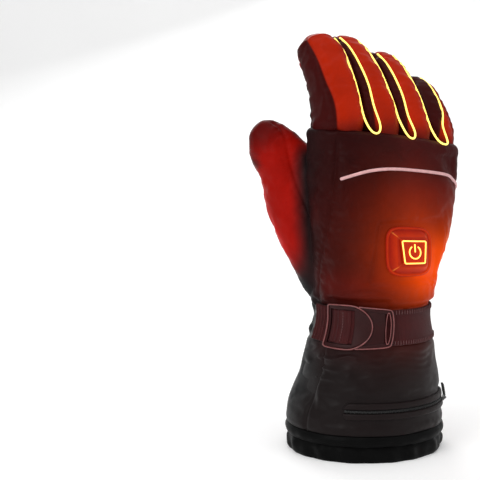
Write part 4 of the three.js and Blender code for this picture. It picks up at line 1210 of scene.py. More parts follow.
class GLOVE_OT_hand(bpy.types.Operator):
    """Make the hand and thumb as one padded skin, open at the wrist"""

    bl_idname = "glove.hand"
    bl_label = "Hand and thumb"

    def execute(self, context):
        sizes = context.scene.glove_sizes
        turns = np.linspace(0, 2 * math.pi, SKIN_SIDES, endpoint=False)[None]
        heights = np.linspace(WRIST_TOP - 1, KNUCKLE_LINE, 60)
        up = np.concatenate([heights, KNUCKLE_LINE + np.array(HAND_TOP_ROWS["up"])])[:, None]
        lift = np.concatenate([0 * heights, HAND_TOP_ROWS["lift"]])[:, None]
        body = body_point(up, turns, lift).reshape(-1, 3)
        bottom = list(range(SKIN_SIDES))[::-1]
        faces = grid_faces(up.size, SKIN_SIDES).tolist()
        faces += [bottom, list(range(len(body) - SKIN_SIDES, len(body)))]
        tip = 1 - (1 - THUMB_TIP) * np.linspace(1, 0, 24)[1:] ** 1.6
        shares = np.concatenate([np.linspace(0, THUMB_TIP, 60), tip])[:, None]
        thumb = thumb_point(shares, turns).reshape(-1, 3)
        thumb_faces = grid_faces(shares.size, SKIN_SIDES).tolist() + [bottom]
        points, faces = joined([(body, faces), (thumb, thumb_faces)])
        mesh = remeshed(points, faces, sizes.voxel / MM * (1))
        coarse = remeshed(points, faces, 4.0)
        points, normals = mesh_arrays(mesh)
        lines = [body_line(SIDE_SEAM), thumb_line(THUMB_SEAM), body_line(PALM_SEAM), body_line(HEEL_SEAM)]
        places, _ = mesh_arrays(coarse)
        held = (places[:, 2] < WRIST_TOP + 3) | (places[:, 2] > KNUCKLE_LINE - 1)
        held |= calm(places[:, 2], body_turn(places)) < 0.5
        for line in lines:
            held |= distance_to_line(places, line)[0] < 2.6
        filling = pressed_out(places, [list(face.vertices) for face in coarse.polygons], held, 1.5)
        lift = carried_over(points, places, filling)
        bpy.data.meshes.remove(coarse)
        for seed, line in enumerate(lines):
            distance, along = distance_to_line(points, line)
            lift += seam_relief(distance, along, seed)
        crumple = ripple(points, 12, 3, stretch=(1, 1, 0.7)) + 0.7 * creases(points, 17, 5)
        for fold in FOLDS:
            distance, along = distance_to_line(points, body_line(fold["places"]))
            ends = step(along, 0, 6) * step(along, along.max(), along.max() - 6)
            lift += fold["depth"] * ends * (0.7 * hill(distance - 3, 1.8) - hill(distance, 1.1))
        # the knuckles are drawn in at the thumb's side
        turn = body_turn(points)
        lift -= 2.0 * hill(away_from(turn, -86), 0.4) * step(points[:, 2], 192, 214)
        lift += sizes.wrinkle / MM * 0.35 * crumple
        lift *= calm(points[:, 2], turn)
        mesh.vertices.foreach_set("co", (points + normals * lift[:, None]).ravel())
        mesh, inside = hollowed(mesh)
        points, _ = mesh_arrays(mesh)
        tint, glow = body_colour(points)
        tint, glow = thumb_colour(points, tint, glow)
        tint = blend_colours(tint, colours()["hem"], inside)
        glow = glow * (1 - inside)
        faces = [list(face.vertices) for face in mesh.polygons]
        bpy.data.meshes.remove(mesh)
        piece = new_object(
            "hand_cloth",
            points,
            faces,
            bpy.data.materials["woven_nylon_taffeta"],
            {"tint": with_alpha(tint), "glow": glow},
            "hand_fabric",
        )
        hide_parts("hand_shell", "thumb")
        return {"FINISHED"}


def hollows():
    """Closed shapes of the room inside the hand, the thumb and the roots of the fingers."""
    turns = np.linspace(0, 2 * math.pi, HOLLOW_SIDES, endpoint=False)[None]

    def closed(points):
        rows = len(points)
        last = (rows - 1) * HOLLOW_SIDES
        ends = [list(range(HOLLOW_SIDES))[::-1], list(range(last, last + HOLLOW_SIDES))]
        return points.reshape(-1, 3), grid_faces(rows, HOLLOW_SIDES).tolist() + ends

    heights = np.linspace(WRIST_TOP - 6, KNUCKLE_LINE - PADDING, 40)[:, None]
    yield closed(body_point(heights, turns, -PADDING))
    yield closed(thumb_point(np.linspace(0.05, 0.95, 50)[:, None], turns, -PADDING))
    for index, finger in enumerate(FINGERS):
        shares = np.linspace(-9, 12, 12)[:, None] / finger["reach"]
        yield closed(finger_point(index, shares, turns, -PADDING))


def hollowed(mesh):
    """The mesh with its hollows cut out, and for each of its points 1 inside and 0 outside."""
    skin = bpy.data.objects.new("skin", mesh)
    bpy.context.scene.collection.objects.link(skin)
    cutters = []
    trees = []
    for points, faces in hollows():
        shape = bpy.data.meshes.new("hollow")
        shape.from_pydata(points.tolist(), [], faces)
        cutter = bpy.data.objects.new("hollow", shape)
        bpy.context.scene.collection.objects.link(cutter)
        cut = skin.modifiers.new("hollow", "BOOLEAN")
        cut.solver = "MANIFOLD"
        cut.operation = "DIFFERENCE"
        cut.object = cutter
        cutters.append(cutter)
        trees.append(BVHTree.FromPolygons(points.tolist(), faces))
    result = bpy.data.meshes.new_from_object(skin.evaluated_get(bpy.context.evaluated_depsgraph_get()))
    for thing in [skin, *cutters]:
        data = thing.data
        bpy.data.objects.remove(thing)
        bpy.data.meshes.remove(data)
    points, _ = mesh_arrays(result)
    inside = [any(tree.find_nearest(place, 0.02)[0] for tree in trees) for place in points.tolist()]
    return result, np.array(inside, float)


# Turns and heights where another piece lies on the cloth, so its wrinkles are pressed flat
COVERED = (
    {"turns": (STRAP_FROM - 2, STRAP_TO + 2), "heights": (STRAP_MIDDLE - 14, STRAP_MIDDLE + 14)},
    {"turns": (-80, -24), "heights": (STRAP_MIDDLE - 18, STRAP_MIDDLE + 18)},
    {"turns": (POCKET_FROM - 3, POCKET_TO + 3), "heights": (POCKET_MIDDLE - 8, POCKET_MIDDLE + 8)},
    {"turns": (-38, 38), "heights": (WRIST_TOP + BADGE_UP - 20, WRIST_TOP + BADGE_UP + 20)},
    {"turns": (108, 200), "heights": (WRIST_TOP + GRIP_BOTTOM - 2, WRIST_TOP + GRIP_TOP + 2)},
)


def calm(z, turn):
    """0 where a piece lies on the cloth and 1 away from it."""
    degrees = np.degrees(turn) % 360
    free = 1
    for place in COVERED:
        middle = (place["turns"][0] + place["turns"][1]) / 2
        away = np.abs((degrees - middle + 180) % 360 - 180) - (place["turns"][1] - place["turns"][0]) / 2
        low, high = place["heights"]
        beyond = np.maximum(low - z, z - high)
        free = free * (1 - step(away, 6, 0) * step(beyond, 5, 0))
    return free


def wrist_relief(z, turn):
    points = body_point(z, turn)
    palm = 1 - back_weight(turn)
    gather = np.sin(16 * turn + 0.8 * np.sin(5 * turn)) * palm
    rows = hill(z - (WRIST_BOTTOM + 6), 4) + hill(z - (WRIST_BOTTOM + 23), 4)
    size = bpy.context.scene.glove_sizes.gather / MM
    fine = 0.25 * np.sin(z * 2 * math.pi / 4.2 + 2 * ripple(points, 30, 8)) * (1 - palm)
    return size * gather * rows + calm(z, turn) * (fine + 0.3 * ripple(points, 8, 9))


def cuff_relief(z, turn):
    points = body_point(z, turn)
    size = bpy.context.scene.glove_sizes.wrinkle / MM
    side = hill(away_from(turn, -83) * 45, 1.3)
    free = calm(z, turn)
    thumb_side = step(np.abs(away_from(turn, -70)), 0.9, 0.2)
    folds = thumb_side * step(z, 45, 70) * creases(points, 24, 12, stretch=(1, 1, 0.6))
    waves = np.sin(z * 2 * math.pi / 5.5 + 2.5 * ripple(points, 42, 15))
    upper = step(z, 52, 76) * waves * hill(away_from(turn, -12), 0.7)
    broad = ripple(points, 34, 11, stretch=(1, 1, 0.7))
    waist = -3.4 * hill(away_from(turn, -98), 0.5) * hill(z - 60, 17)
    return free * size * (0.6 * broad + 1.3 * folds + 0.5 * upper) - 0.9 * side + waist


def roll_relief(z, turn):
    share = (z - SKIRT_HEIGHT) / ROLL_HEIGHT
    return ROLL_BULGE * np.sin(math.pi * np.clip(share, 0, 1)) + 0.15 * ripple(body_point(z, turn), 12, 14)


def skirt_relief(z, turn):
    share = z / SKIRT_HEIGHT
    puffs = np.sin(15 * turn + 2 * share + 1.2 * np.sin(6 * turn)) + 0.4 * np.sin(26 * turn + 2)
    size = bpy.context.scene.glove_sizes.gather / MM
    gathers = size * (0.3 + 0.5 * np.sin(math.pi * share)) * puffs * 0.7
    return gathers - 1.6 * hill(share - 1, 0.2) - 1.2 * hill(share, 0.12)


WALLS = (
    {
        "name": "wrist_cloth",
        "node": "wrist_gather",
        "low": WRIST_BOTTOM,
        "high": WRIST_TOP,
        "steps": 60,
        "wall": PADDING + 1.1,
        "relief": wrist_relief,
        "slot": "black_fabric",
        "cloth": "calendered_nylon_taffeta",
    },
    {
        "name": "cuff_cloth",
        "node": "cuff_shell",
        "low": CUFF_BOTTOM + GAP,
        "high": WRIST_BOTTOM,
        "steps": 110,
        "wall": CUFF_WALL,
        "relief": cuff_relief,
        "slot": "black_fabric",
        "cloth": "calendered_nylon_taffeta",
    },
    {
        "name": "hem_roll_cloth",
        "node": "hem_roll",
        "low": SKIRT_HEIGHT + GAP,
        "high": CUFF_BOTTOM,
        "steps": 16,
        "wall": HEM_WALL,
        "relief": roll_relief,
        "slot": "hem_binding",
        "cloth": "woven_nylon_taffeta",
    },
    {
        "name": "hem_skirt_cloth",
        "node": "hem_skirt",
        "low": 0,
        "high": SKIRT_HEIGHT,
        "steps": 24,
        "wall": HEM_WALL + 0.8,
        "relief": skirt_relief,
        "slot": "hem_binding",
        "cloth": "woven_nylon_taffeta",
    },
)


def wall_filling(wall):
    """Lift that the filling gives a ring of cloth, on a grid of heights and turns."""
    heights = np.linspace(wall["low"], wall["high"], max(4, int((wall["high"] - wall["low"]) / 2.6)))
    if wall["high"] - wall["low"] < CUFF_HEIGHT - 1:
        return np.zeros((len(heights), 4)), heights
    turns = np.linspace(0, 2 * math.pi, CUFF_TRIAL_SIDES, endpoint=False)
    z, turn = np.meshgrid(heights, turns, indexing="ij")
    held = (z < heights[1]) | (z > heights[-2]) | (calm(z, turn) < 0.5)
    for place in (-83, 97):
        held |= np.abs(away_from(turn, place)) < math.radians(2)
    points = body_point(z, turn).reshape(-1, 3)
    faces = grid_faces(len(heights), CUFF_TRIAL_SIDES).tolist()
    lift = pressed_out(points, faces, held.ravel(), 0.15)
    return lift.reshape(z.shape), heights


class GLOVE_OT_walls(bpy.types.Operator):
    """Make the gathered wrist, the cuff, its rolled hem and the gathered edge"""

    bl_idname = "glove.walls"
    bl_label = "Wrist, cuff and hem"

    def execute(self, context):
        for wall in WALLS:
            filling, places = wall_filling(wall)

            def outer(z, turn, wall=wall, filling=filling, places=places):
                return body_point(z, turn, wall["relief"](z, turn) + from_grid(filling, places, z, turn))

            def inner(z, turn, wall=wall):
                return body_point(z, turn, -wall["wall"])

            heights = np.linspace(wall["low"], wall["high"], wall["steps"] + 1)
            turns = np.linspace(0, 2 * math.pi, 360, endpoint=False)
            cloth = bpy.data.materials[wall["cloth"]]
            piece = ring_wall(wall["name"], outer, inner, heights, turns, cloth, wall["slot"])
            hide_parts(wall["node"])
        return {"FINISHED"}


# Hard and narrow pieces


def sheet_piece(name, node_name, at, steps, lifts, size, material, slot, relief=None):
    """A thin closed piece that follows a surface and replaces a fixed solid.

    size is its length and height in millimetres, which give its weave its scale.
    """

    def placed(along, up, lift):
        top = lift > (lifts[0] + lifts[1]) / 2
        return at(along, up, lift + (np.where(top, relief(along, up), 0) if relief else 0))

    points, faces = closed_sheet(placed, *steps, *lifts)
    along = np.linspace(0, size[0], steps[0] + 1)[:, None]
    up = np.concatenate(
        [np.linspace(0, size[1], steps[1] + 1), np.linspace(size[1], 0, steps[1] + 1)]
    )[None]
    place = np.stack(np.broadcast_arrays(along * MM, up * MM, 0.0), -1).reshape(-1, 3)
    piece = new_object(name, points, faces, bpy.data.materials[material], {"cloth_place": place}, slot)
    if node_name:
        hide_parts(node_name)
    return piece


def joined_piece(name, shapes, material, slot, node_name=None):
    """One piece of several shapes, which may replace a fixed solid."""
    points, faces = joined(shapes)
    piece = new_object(name, points, faces, bpy.data.materials[material], slot=slot)
    if node_name:
        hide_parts(node_name)


def tube_piece(name, line, radius, material, slot, node_name=None, sides=12):
    joined_piece(name, [tube_mesh(line, radius, sides)], material, slot, node_name)


def rounded_edge(share, width):
    """Height of a pillow's edge, 0 at the ends of a share and 1 inside them."""
    near = np.clip(np.minimum(share, 1 - share) / width, 0, 1)
    return np.sqrt(1 - (1 - near) ** 2)


def stitch_row(line, pitch, long, radius, across=None):
    """Short sewn stitches along a line, or each across it where across gives its heading."""
    steps = steps_along(line)
    shapes = []
    for at in np.arange(pitch / 2, steps[-1], pitch):
        ends = at + np.array([-long / 2, 0, long / 2])
        if across is None:
            middle = np.stack([np.interp(ends, steps, line[:, i]) for i in range(3)], -1)
        else:
            centre = np.array([np.interp(at, steps, line[:, i]) for i in range(3)])
            middle = centre + np.linspace(-0.5, 0.5, 3)[:, None] * long * np.asarray(across)
        shapes.append(tube_mesh(middle, radius * np.array([0.7, 1.0, 0.7]), sides=6))
    return joined(shapes)


def cloth_surface():
    """Nearest-point trees of the cloth pieces made so far."""
    trees = []
    for piece in bpy.data.objects:
        if piece.name.endswith("_cloth"):
            mesh = piece.data
            corners = [vertex.co for vertex in mesh.vertices]
            trees.append(BVHTree.FromPolygons(corners, [list(face.vertices) for face in mesh.polygons]))
    return trees


def settled(line, height, trees, most=3.5):
    """A line laid on the cloth at a height above it."""
    laid = []
    for place in line:
        hits = [tree.find_nearest(Vector(place * MM)) for tree in trees]
        spot, normal, _, distance = min((hit for hit in hits if hit[0]), key=lambda hit: hit[3])
        if distance > most * MM:
            laid.append(place)
        else:
            laid.append(np.array(spot) / MM + np.array(normal) * height)
    laid = np.array(laid)
    for _ in range(40):
        laid[1:-1] = (laid[:-2] + 2 * laid[1:-1] + laid[2:]) / 4
    return laid


def crotch_wire(index):
    """Route of a heating wire along the facing edges of two fingers."""
    lift = WIRE_DIAMETER / 2 + ON_CLOTH + GAP

    def arm(finger, root, edge):
        shares = np.array(WIRE_SHARES)
        turn = mix(root, edge, np.minimum(1, shares / WIRE_SWING))
        return finger_point(finger, shares, np.radians(turn), lift)

    down = arm(index, WIRE_TURN, WIRE_TURN)
    up = arm(index + 1, -WIRE_TURN, FINGERS[index + 1]["edge"])
    across = np.array([down[-1, 0], (down[-1, 0] + up[-1, 0]) / 2, up[-1, 0]])
    dip = back_point(across, np.full(3, float(KNUCKLE_LINE)), lift + ON_CLOTH)
    dip[:, 2] += WIRE_RISE + np.array([WIRE_SHOULDER, 0, WIRE_SHOULDER])
    return np.concatenate([down, dip, up[::-1]])


class GLOVE_OT_wires(bpy.types.Operator):
    """Lay the heating wires on the finger backs and the piping over the knuckles"""

    bl_idname = "glove.wires"
    bl_label = "Heating wires and piping"

    def execute(self, context):
        trees = cloth_surface()
        for index in range(3):
            line = smooth_line(crotch_wire(index), 150)
            line = settled(line, 0.55, trees)
            tube_piece(
                f"heating_wire_line_{index + 1}",
                line,
                WIRE_DIAMETER / 2,
                "extruded_wire_diffuser",
                "heating_wire",
                f"heating_wire_{index + 1}",
            )
        share = np.linspace(0, 1, 100)
        heights = WRIST_TOP + HAND_HEIGHT * smooth(PIPING_ROWS, "rise", share)
        line = body_point(heights, np.radians(mix(PIPING_FROM, PIPING_TO, share)), PIPING_DIAMETER / 2)
        tube_piece(
            "knuckle_piping_film",
            settled(line, 0.75, trees),
            PIPING_DIAMETER / 2,
            "pressed_reflective_film",
            "reflective_piping",
            "knuckle_piping",
        )
        return {"FINISHED"}


# Badge profile: size as a share of the badge's, height in millimetres and squareness
BADGE_PROFILE = {
    "size": (1.0, 1.0, 0.985, 0.955, 0.93, 0.905, 0.885, 0.865, 0.84, 0.65, 0.625, 0.6, 0.3, 0.0),
    "height": (0.0, 0.8, 1.45, 1.7, 1.5, 0.7, 0.5, 0.6, 0.75, 3.1, 3.35, 3.4, 3.4, 3.4),
    "square": (4.0, 4.0, 4.0, 4.0, 4.0, 4.2, 4.5, 5.0, 6.0, 12.0, 12.0, 12.0, 12.0, 12.0),
}


def badge_place(along, up, lift):
    return back_point(BADGE_ACROSS + along, WRIST_TOP + BADGE_UP + up, lift)


def key_outline(inset, count=200):
    """The key's outline with slightly rounded corners, drawn in by a distance."""
    top, bottom, half = KEY_TOP_WIDTH / 2 - inset, KEY_BOTTOM_WIDTH / 2 - inset, KEY_HEIGHT / 2 - inset
    corners = np.array([(-bottom, -half), (bottom, -half), (top, half), (-top, half)])
    after = np.roll(corners, -1, axis=0)
    legs = np.linspace(0.04, 0.96, count // 4)[:, None, None]
    points = (corners + (after - corners) * legs).transpose(1, 0, 2).reshape(-1, 2)
    return np.concatenate([points, points[:1]])


class GLOVE_OT_badge(bpy.types.Operator):
    """Make the moulded badge, its power key and the lit outline and symbol"""

    bl_idname = "glove.badge"
    bl_label = "Badge and power key"

    def execute(self, context):
        paint = colours()
        count = 144
        turns = np.linspace(0, 2 * math.pi, count, endpoint=False)[None]
        size, height, square = (
            np.array(BADGE_PROFILE[key])[:, None] for key in ("size", "height", "square")
        )
        along = signed_power(np.cos(turns), 2 / square) * BADGE_WIDTH / 2 * size
        up = signed_power(np.sin(turns), 2 / square) * BADGE_HEIGHT / 2 * size
        points = badge_place(along, up, ON_CLOTH + height)
        under = badge_place(0 * along[:1], 0 * up[:1], ON_CLOTH)
        points = np.concatenate([under, points])
        faces = grid_faces(len(points), count)
        far_along = np.concatenate([along[:1] * 0, along])
        far_up = np.concatenate([up[:1] * 0, up])
        lit = step(far_along, -26, 26) * step(far_up, 26, -26)
        ridges_lit = hill(size - 0.93, 0.04) + 0.8 * hill(size - 0.64, 0.05) + 0 * up
        ridge = np.concatenate([up[:1] * 0, ridges_lit])
        # painted highlight: the slopes meet in bright, pale glowing edges at the corners
        slope = np.concatenate([size[:1] * 0, hill(size - 0.74, 0.1)])
        corner = np.abs(np.abs(np.sin(turns)) - np.abs(np.cos(turns)))
        edge = slope * hill(corner, 0.1) * (0.4 + 0.6 * step(np.cos(turns), 0.2, -0.2))
        # painted glow: the badge's middle and ridges are painted brighter and its corner edges pale orange,
        # and the glow attribute makes them give out light
        tint = np.broadcast_to(np.array(linear("#941604")), points.shape).copy()
        tint = blend_colours(tint, np.array(linear("#c83c04")), 0.35 * lit + 0.35 * np.clip(ridge, 0, 1))
        tint = blend_colours(tint, np.array(linear("#ffb048")), 0.7 * edge)
        glow = 0.1 + 0.35 * lit + 0.2 * ridge + 0.5 * edge
        badge = new_object(
            "badge_rubber",
            points,
            faces,
            bpy.data.materials["moulded_silicone"],
            {"tint": with_alpha(tint), "glow": glow.ravel()},
            "badge_rubber",
        )
        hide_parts("badge")

        def key_at(along, up, lift):
            width = mix(KEY_BOTTOM_WIDTH, KEY_TOP_WIDTH, up)
            return badge_place((along - 0.5) * width, (up - 0.5) * KEY_HEIGHT, lift)

        points, faces = closed_sheet(key_at, 24, 24, KEY_LOW, KEY_HIGH)
        # painted glow: the key is painted a brighter red and gives out light
        tint = np.broadcast_to(np.array(linear("#a82404")), points.shape)
        glow = np.full(len(points), 0.3)
        key = new_object(
            "power_key_rubber",
            points,
            faces,
            bpy.data.materials["moulded_silicone"],
            {"tint": with_alpha(tint), "glow": glow},
            "badge_rubber",
        )
        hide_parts("power_key")
        lift = KEY_HIGH + 2 * GAP
        outline = key_outline(LIGHT_WIDTH * 0.9)
        frame_line = badge_place(outline[:, 0], outline[:, 1], lift)
        tube_piece(
            "key_light_outline", frame_line, 0.5, "moulded_key_diffuser", "key_light", "key_light_frame", 10
        )
        turn = np.radians(90 + np.linspace(36, 324, 60))
        arc = badge_place(SYMBOL_RADIUS * np.cos(turn), SYMBOL_RADIUS * np.sin(turn), lift)
        tube_piece("key_light_ring", arc, 0.48, "moulded_key_diffuser", "key_light", "key_light_arc", 10)
        bar = badge_place(0 * turn[:8], np.linspace(0.1, 1.2, 8) * SYMBOL_RADIUS, lift)
        tube_piece("key_light_stroke", bar, 0.48, "moulded_key_diffuser", "key_light", "key_light_bar", 10)
        return {"FINISHED"}


def strap_at(along, up, lift):
    turn = np.radians(mix(STRAP_FROM, STRAP_TO, along))
    return body_point(STRAP_MIDDLE + (up - 0.5) * STRAP_HEIGHT, turn, lift)


def strap_relief(along, up):
    """Thin raised edges, and close ribs of elastic at the thumb's end."""
    edges = 0.25 * hill(np.minimum(up, 1 - up) - 0.07, 0.04)
    elastic = 0.35 * np.sin(along * 2 * math.pi * 92) * step(along, 0.14, 0.1)
    return edges + elastic


def buckle_outline(kind, count=120):
    """Outlines of the buckle's two loops, along and up from its middle."""
    half = BUCKLE_HEIGHT / 2
    left = -BUCKLE_LENGTH / 2
    if kind == "ring":
        # a straight bar at the left and a bow at the right
        bow = np.radians(np.linspace(72, -72, 40))
        middle = left + BUCKLE_BOW
        points = [(left + 1.2, -half * 0.86), (left + 1.2, half * 0.86), (left + 3, half * 0.93)]
        points += [(middle + 1, half * 0.97)]
        points += [(middle + BUCKLE_BOW * math.cos(b), half * 0.99 * math.sin(b)) for b in bow]
        points += [(middle + 1, -half * 0.97), (left + 3, -half * 0.93), (left + 1.2, -half * 0.86)]
    else:
        right = BUCKLE_LENGTH / 2 - 1.2
        points = [
            (0, half * 0.93), (12, half * 0.88), (right - 3.2, half * 0.82), (right - 1.2, half * 0.74)
        ]
        points += [(right, 0), (right - 1.2, -half * 0.74), (right - 3.2, -half * 0.82)]
        points += [(12, -half * 0.88), (0, -half * 0.93)]
    line = np.array([(x, y, 0.0) for x, y in points])
    return smooth_line(line, count)


class GLOVE_OT_strap(bpy.types.Operator):
    """Make the wrist strap, its stitches, its folded end and the buckle"""

    bl_idname = "glove.strap"
    bl_label = "Strap and buckle"

    def execute(self, context):
        long = math.radians(STRAP_TO - STRAP_FROM) * (WRIST_WIDTH + WRIST_DEPTH) / 4
        sheet_piece(
            "wrist_strap_webbing",
            "wrist_strap",
            strap_at,
            (480, 30),
            (ON_CLOTH, STRAP_TOP),
            (long, STRAP_HEIGHT),
            "woven_strap_webbing",
            "webbing",
            strap_relief,
        )
        share = np.linspace(0.46, 0.97, 200)
        rows = [
            stitch_row(strap_at(share, 0 * share + up, STRAP_TOP + 0.4), 2.3, 2.6, 0.3, across=(0, 0, 1))
            for up in (0.07, 0.93)
        ]
        joined_piece("strap_edge_stitches", rows, "spun_dark_thread", "webbing")
        place = on_body(BUCKLE_TURN, STRAP_MIDDLE)
        left = -BUCKLE_LENGTH / 2
        half = BUCKLE_HEIGHT / 2
        top = BUCKLE_LOW + BUCKLE_THICKNESS

        def plate(start, end, high, height):
            def at(along, up, lift):
                x = start + along * (end - start)
                return place(x, (2 * up - 1) * height(x), lift)

            return closed_sheet(at, 24, 24, BUCKLE_LOW, high - 0.5)

        rail_inside = half - BUCKLE_BAR - 1
        shapes = []
        for low, high in ((rail_inside, half - 1.2), (-half + 1.2, -rail_inside)):

            def rail(along, up, lift, low=low, high=high):
                x = left + along * BUCKLE_LENGTH * 0.97
                narrow = 1 - 0.16 * step(x, 4, 24)
                return place(x, mix(low, high, up) * narrow, lift)

            shapes.append(closed_sheet(rail, 60, 4, BUCKLE_LOW, top - 0.4))

        bow_middle = left + BUCKLE_BOW
        slot_left = BUCKLE_LENGTH / 2 - BUCKLE_BAR - BUCKLE_SLOT

        def tongue(x):
            bow = np.sqrt(np.maximum(0.02, 1 - ((x - bow_middle) / BUCKLE_BOW) ** 2))
            return np.minimum(half - 1.4, (half - 1.4) * bow)

        shapes.append(plate(left + 0.2, left + BUCKLE_BAR, top, lambda x: half * 0.86))
        window_end = left + BUCKLE_BAR + BUCKLE_WINDOW
        shapes.append(plate(window_end, bow_middle + BUCKLE_BOW - 0.2, top + 0.9, tongue))
        shapes.append(plate(-2, slot_left, top - 0.5, lambda x: rail_inside + 0.5))
        end_left, end_right = slot_left + BUCKLE_SLOT, BUCKLE_LENGTH / 2 - 0.8
        shapes.append(plate(end_left, end_right, top, lambda x: half * 0.74))
        joined_piece("strap_buckle_plate", shapes, "moulded_satin_acetal", "buckle_plastic", "strap_buckle")
        # paler tubes along the buckle's outlines and slot: painted highlights on its edges
        edges = []
        for kind, lift, radius in (("ring", top, 0.5), ("loop", top - 0.5, 0.42)):
            outline = buckle_outline(kind)
            edges.append(tube_mesh(place(outline[:, 0], outline[:, 1], lift), radius, 10))
        slot_turn = np.linspace(0, 2 * math.pi, 40)
        slot_x = slot_left + BUCKLE_SLOT / 2 + BUCKLE_SLOT * 0.45 * np.cos(slot_turn)
        slot_y = rail_inside * 0.92 * np.sin(slot_turn)
        edges.append(tube_mesh(place(slot_x, slot_y, top - 0.4), 0.32, 8))
        joined_piece("buckle_rubbed_edges", edges, "rubbed_acetal_edge", "buckle_plastic")

        def fold_at(along, up, lift):
            x = left + BUCKLE_BAR + GAP + along * (BUCKLE_WINDOW - 2 * GAP)
            return place(x, (2 * up - 1) * (rail_inside - GAP), lift)

        def fold_relief(along, up):
            layers = 0.7 * step(along, 0.3, 0.34) + 0.5 * step(along, 0.5, 0.53)
            ends = -0.9 * step(along, 0.86, 0.9) - 0.9 * step(along, 0.12, 0.06)
            return layers + ends + 0.12 * np.sin(along * 40 + up)

        sheet_piece(
            "strap_fold_webbing",
            "strap_fold",
            fold_at,
            (90, 16),
            (BUCKLE_LOW, BUCKLE_LOW + 1.0),
            (BUCKLE_WINDOW, 2 * rail_inside),
            "woven_strap_webbing",
            "webbing",
            fold_relief,
        )
        up = np.linspace(0.06, 0.94, 30)
        row = stitch_row(fold_at(0 * up + 0.55, up, BUCKLE_LOW + 2.2), 2.0, 1.3, 0.24)
        joined_piece("strap_fold_stitches", [row], "spun_dark_thread", "webbing")
        return {"FINISHED"}


def pocket_at(middle, height, first, last):
    def at(along, up, lift):
        turn = np.radians(mix(first, last, along))
        return body_point(middle + (up - 0.5) * height, turn, lift)

    return at


class GLOVE_OT_pocket(bpy.types.Operator):
    """Make the pocket's welts, its zip with teeth, slider and woven pull"""

    bl_idname = "glove.pocket"
    bl_label = "Battery pocket and zip"

    def execute(self, context):
        cloth = bpy.data.materials["calendered_nylon_taffeta"]
        shift = (WELT_HEIGHT + ZIP_WIDTH) / 2 + GAP
        for name, side in (("upper", 1), ("lower", -1)):
            middle = POCKET_MIDDLE + side * shift

            def at(along, up, lift, middle=middle, side=side):
                far = (up if side > 0 else 1 - up) * WELT_HEIGHT
                turn = np.radians(mix(POCKET_FROM, POCKET_TO, along))
                corner = 5 - np.sqrt(np.maximum(0, 25 - np.maximum(0, far - WELT_HEIGHT + 5) ** 2))
                turn = turn + corner / 58 * (1 - along) ** 8
                full = np.where(lift > ON_CLOTH + 0.1, rounded_edge(up, 0.3) * rounded_edge(along, 0.02), 0)
                rise = WELT_THICKNESS * full
                return body_point(middle + (up - 0.5) * WELT_HEIGHT, turn, ON_CLOTH * 0.5 + rise)

            points, faces = closed_sheet(at, 240, 14, ON_CLOTH, ON_CLOTH + WELT_THICKNESS)
            tint, glow = body_colour(points)
            piece = new_object(
                f"pocket_welt_{name}_cloth",
                points,
                faces,
                cloth,
                {"tint": with_alpha(tint * 1.2), "glow": glow},
                "black_fabric",
            )
            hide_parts(f"pocket_welt_{name}")
        tape = pocket_at(POCKET_MIDDLE, ZIP_WIDTH, POCKET_FROM + 1, POCKET_TO)
        shapes = [closed_sheet(tape, 120, 1, ON_CLOTH * 0.4, ON_CLOTH + 0.2)]
        for i, turn in enumerate(np.radians(np.arange(POCKET_FROM + 2, POCKET_TO, 1.35))):
            reach = np.array([-0.75, 0.35]) if i % 2 else np.array([-0.35, 0.75])
            line = body_point(POCKET_MIDDLE + np.linspace(*reach, 4), turn, ON_CLOTH + 0.55)
            shapes.append(tube_mesh(line, 0.42, 6))
        joined_piece("zip_coil", shapes, "moulded_black_nylon", "zip_plastic", "zip_chain")
        place = on_body(SLIDER_TURN, POCKET_MIDDLE)

        def slider_at(along, up, lift):
            x = (along - 0.5) * SLIDER_LENGTH
            narrow = 1 - 0.35 * step(np.abs(along - 0.5), 0.2, 0.5)
            crown = np.where(lift > SLIDER_LOW + 0.5, rounded_edge(up, 0.4) * rounded_edge(along, 0.3), 1)
            return place(
                x,
                (up - 0.5) * SLIDER_HEIGHT * narrow,
                SLIDER_LOW + (lift - SLIDER_LOW) * (0.4 + 0.6 * crown),
            )

        shapes = [closed_sheet(slider_at, 20, 12, SLIDER_LOW, SLIDER_LOW + 1.3)]
        bridge = np.array([(-2.4, 0, 1.2), (-2.2, 0, 2.2), (0, 0, 2.6), (2.4, 0, 2.3), (3.0, 0, 1.2)])
        line = smooth_line(place(bridge[:, 0], bridge[:, 1], SLIDER_LOW + bridge[:, 2] - 0.4), 24)
        shapes.append(tube_mesh(line, 0.55, 10))
        joined_piece("zip_slider_body", shapes, "painted_cast_zinc", "zip_metal", "zip_slider")

        def pull_at(along, up, lift):
            x = SLIDER_LENGTH / 2 - 0.6 + along * PULL_LENGTH * 0.65
            y = (up - 0.5) * PULL_WIDTH * (0.5 + 0.5 * np.sin(math.pi * np.clip(along * 1.2, 0, 1)) ** 0.5)
            return place(x, y + along * PULL_LENGTH * 0.75, lift)

        def pull_relief(along, up):
            return 0.25 * np.sin(along * 2 * math.pi * 8) * np.sin(up * 2 * math.pi * 3)

        sheet_piece(
            "zip_pull_braid",
            "zip_pull",
            pull_at,
            (60, 24),
            (SLIDER_LOW, SLIDER_LOW + 1.7),
            (PULL_LENGTH, PULL_WIDTH),
            "braided_polyester_pull",
            "pull_cord",
            pull_relief,
        )
        flecks = []
        for along in np.linspace(0.25, 0.9, 6):
            for up in (0.3, 0.7):
                middle = pull_at(
                    np.array([along - 0.03, along, along + 0.03]), np.full(3, up), SLIDER_LOW + 1.95
                )
                flecks.append(tube_mesh(middle, np.array([0.3, 0.42, 0.3]), 6))
        joined_piece("zip_pull_flecks", flecks, "spun_pale_thread", "pull_cord")
        return {"FINISHED"}


def grip_at(along, up, lift):
    turn = np.radians(mix(smooth(GRIP_ROWS, "from", up), smooth(GRIP_ROWS, "to", up), along))
    return body_point(WRIST_TOP + mix(GRIP_BOTTOM, GRIP_TOP, up), turn, lift)


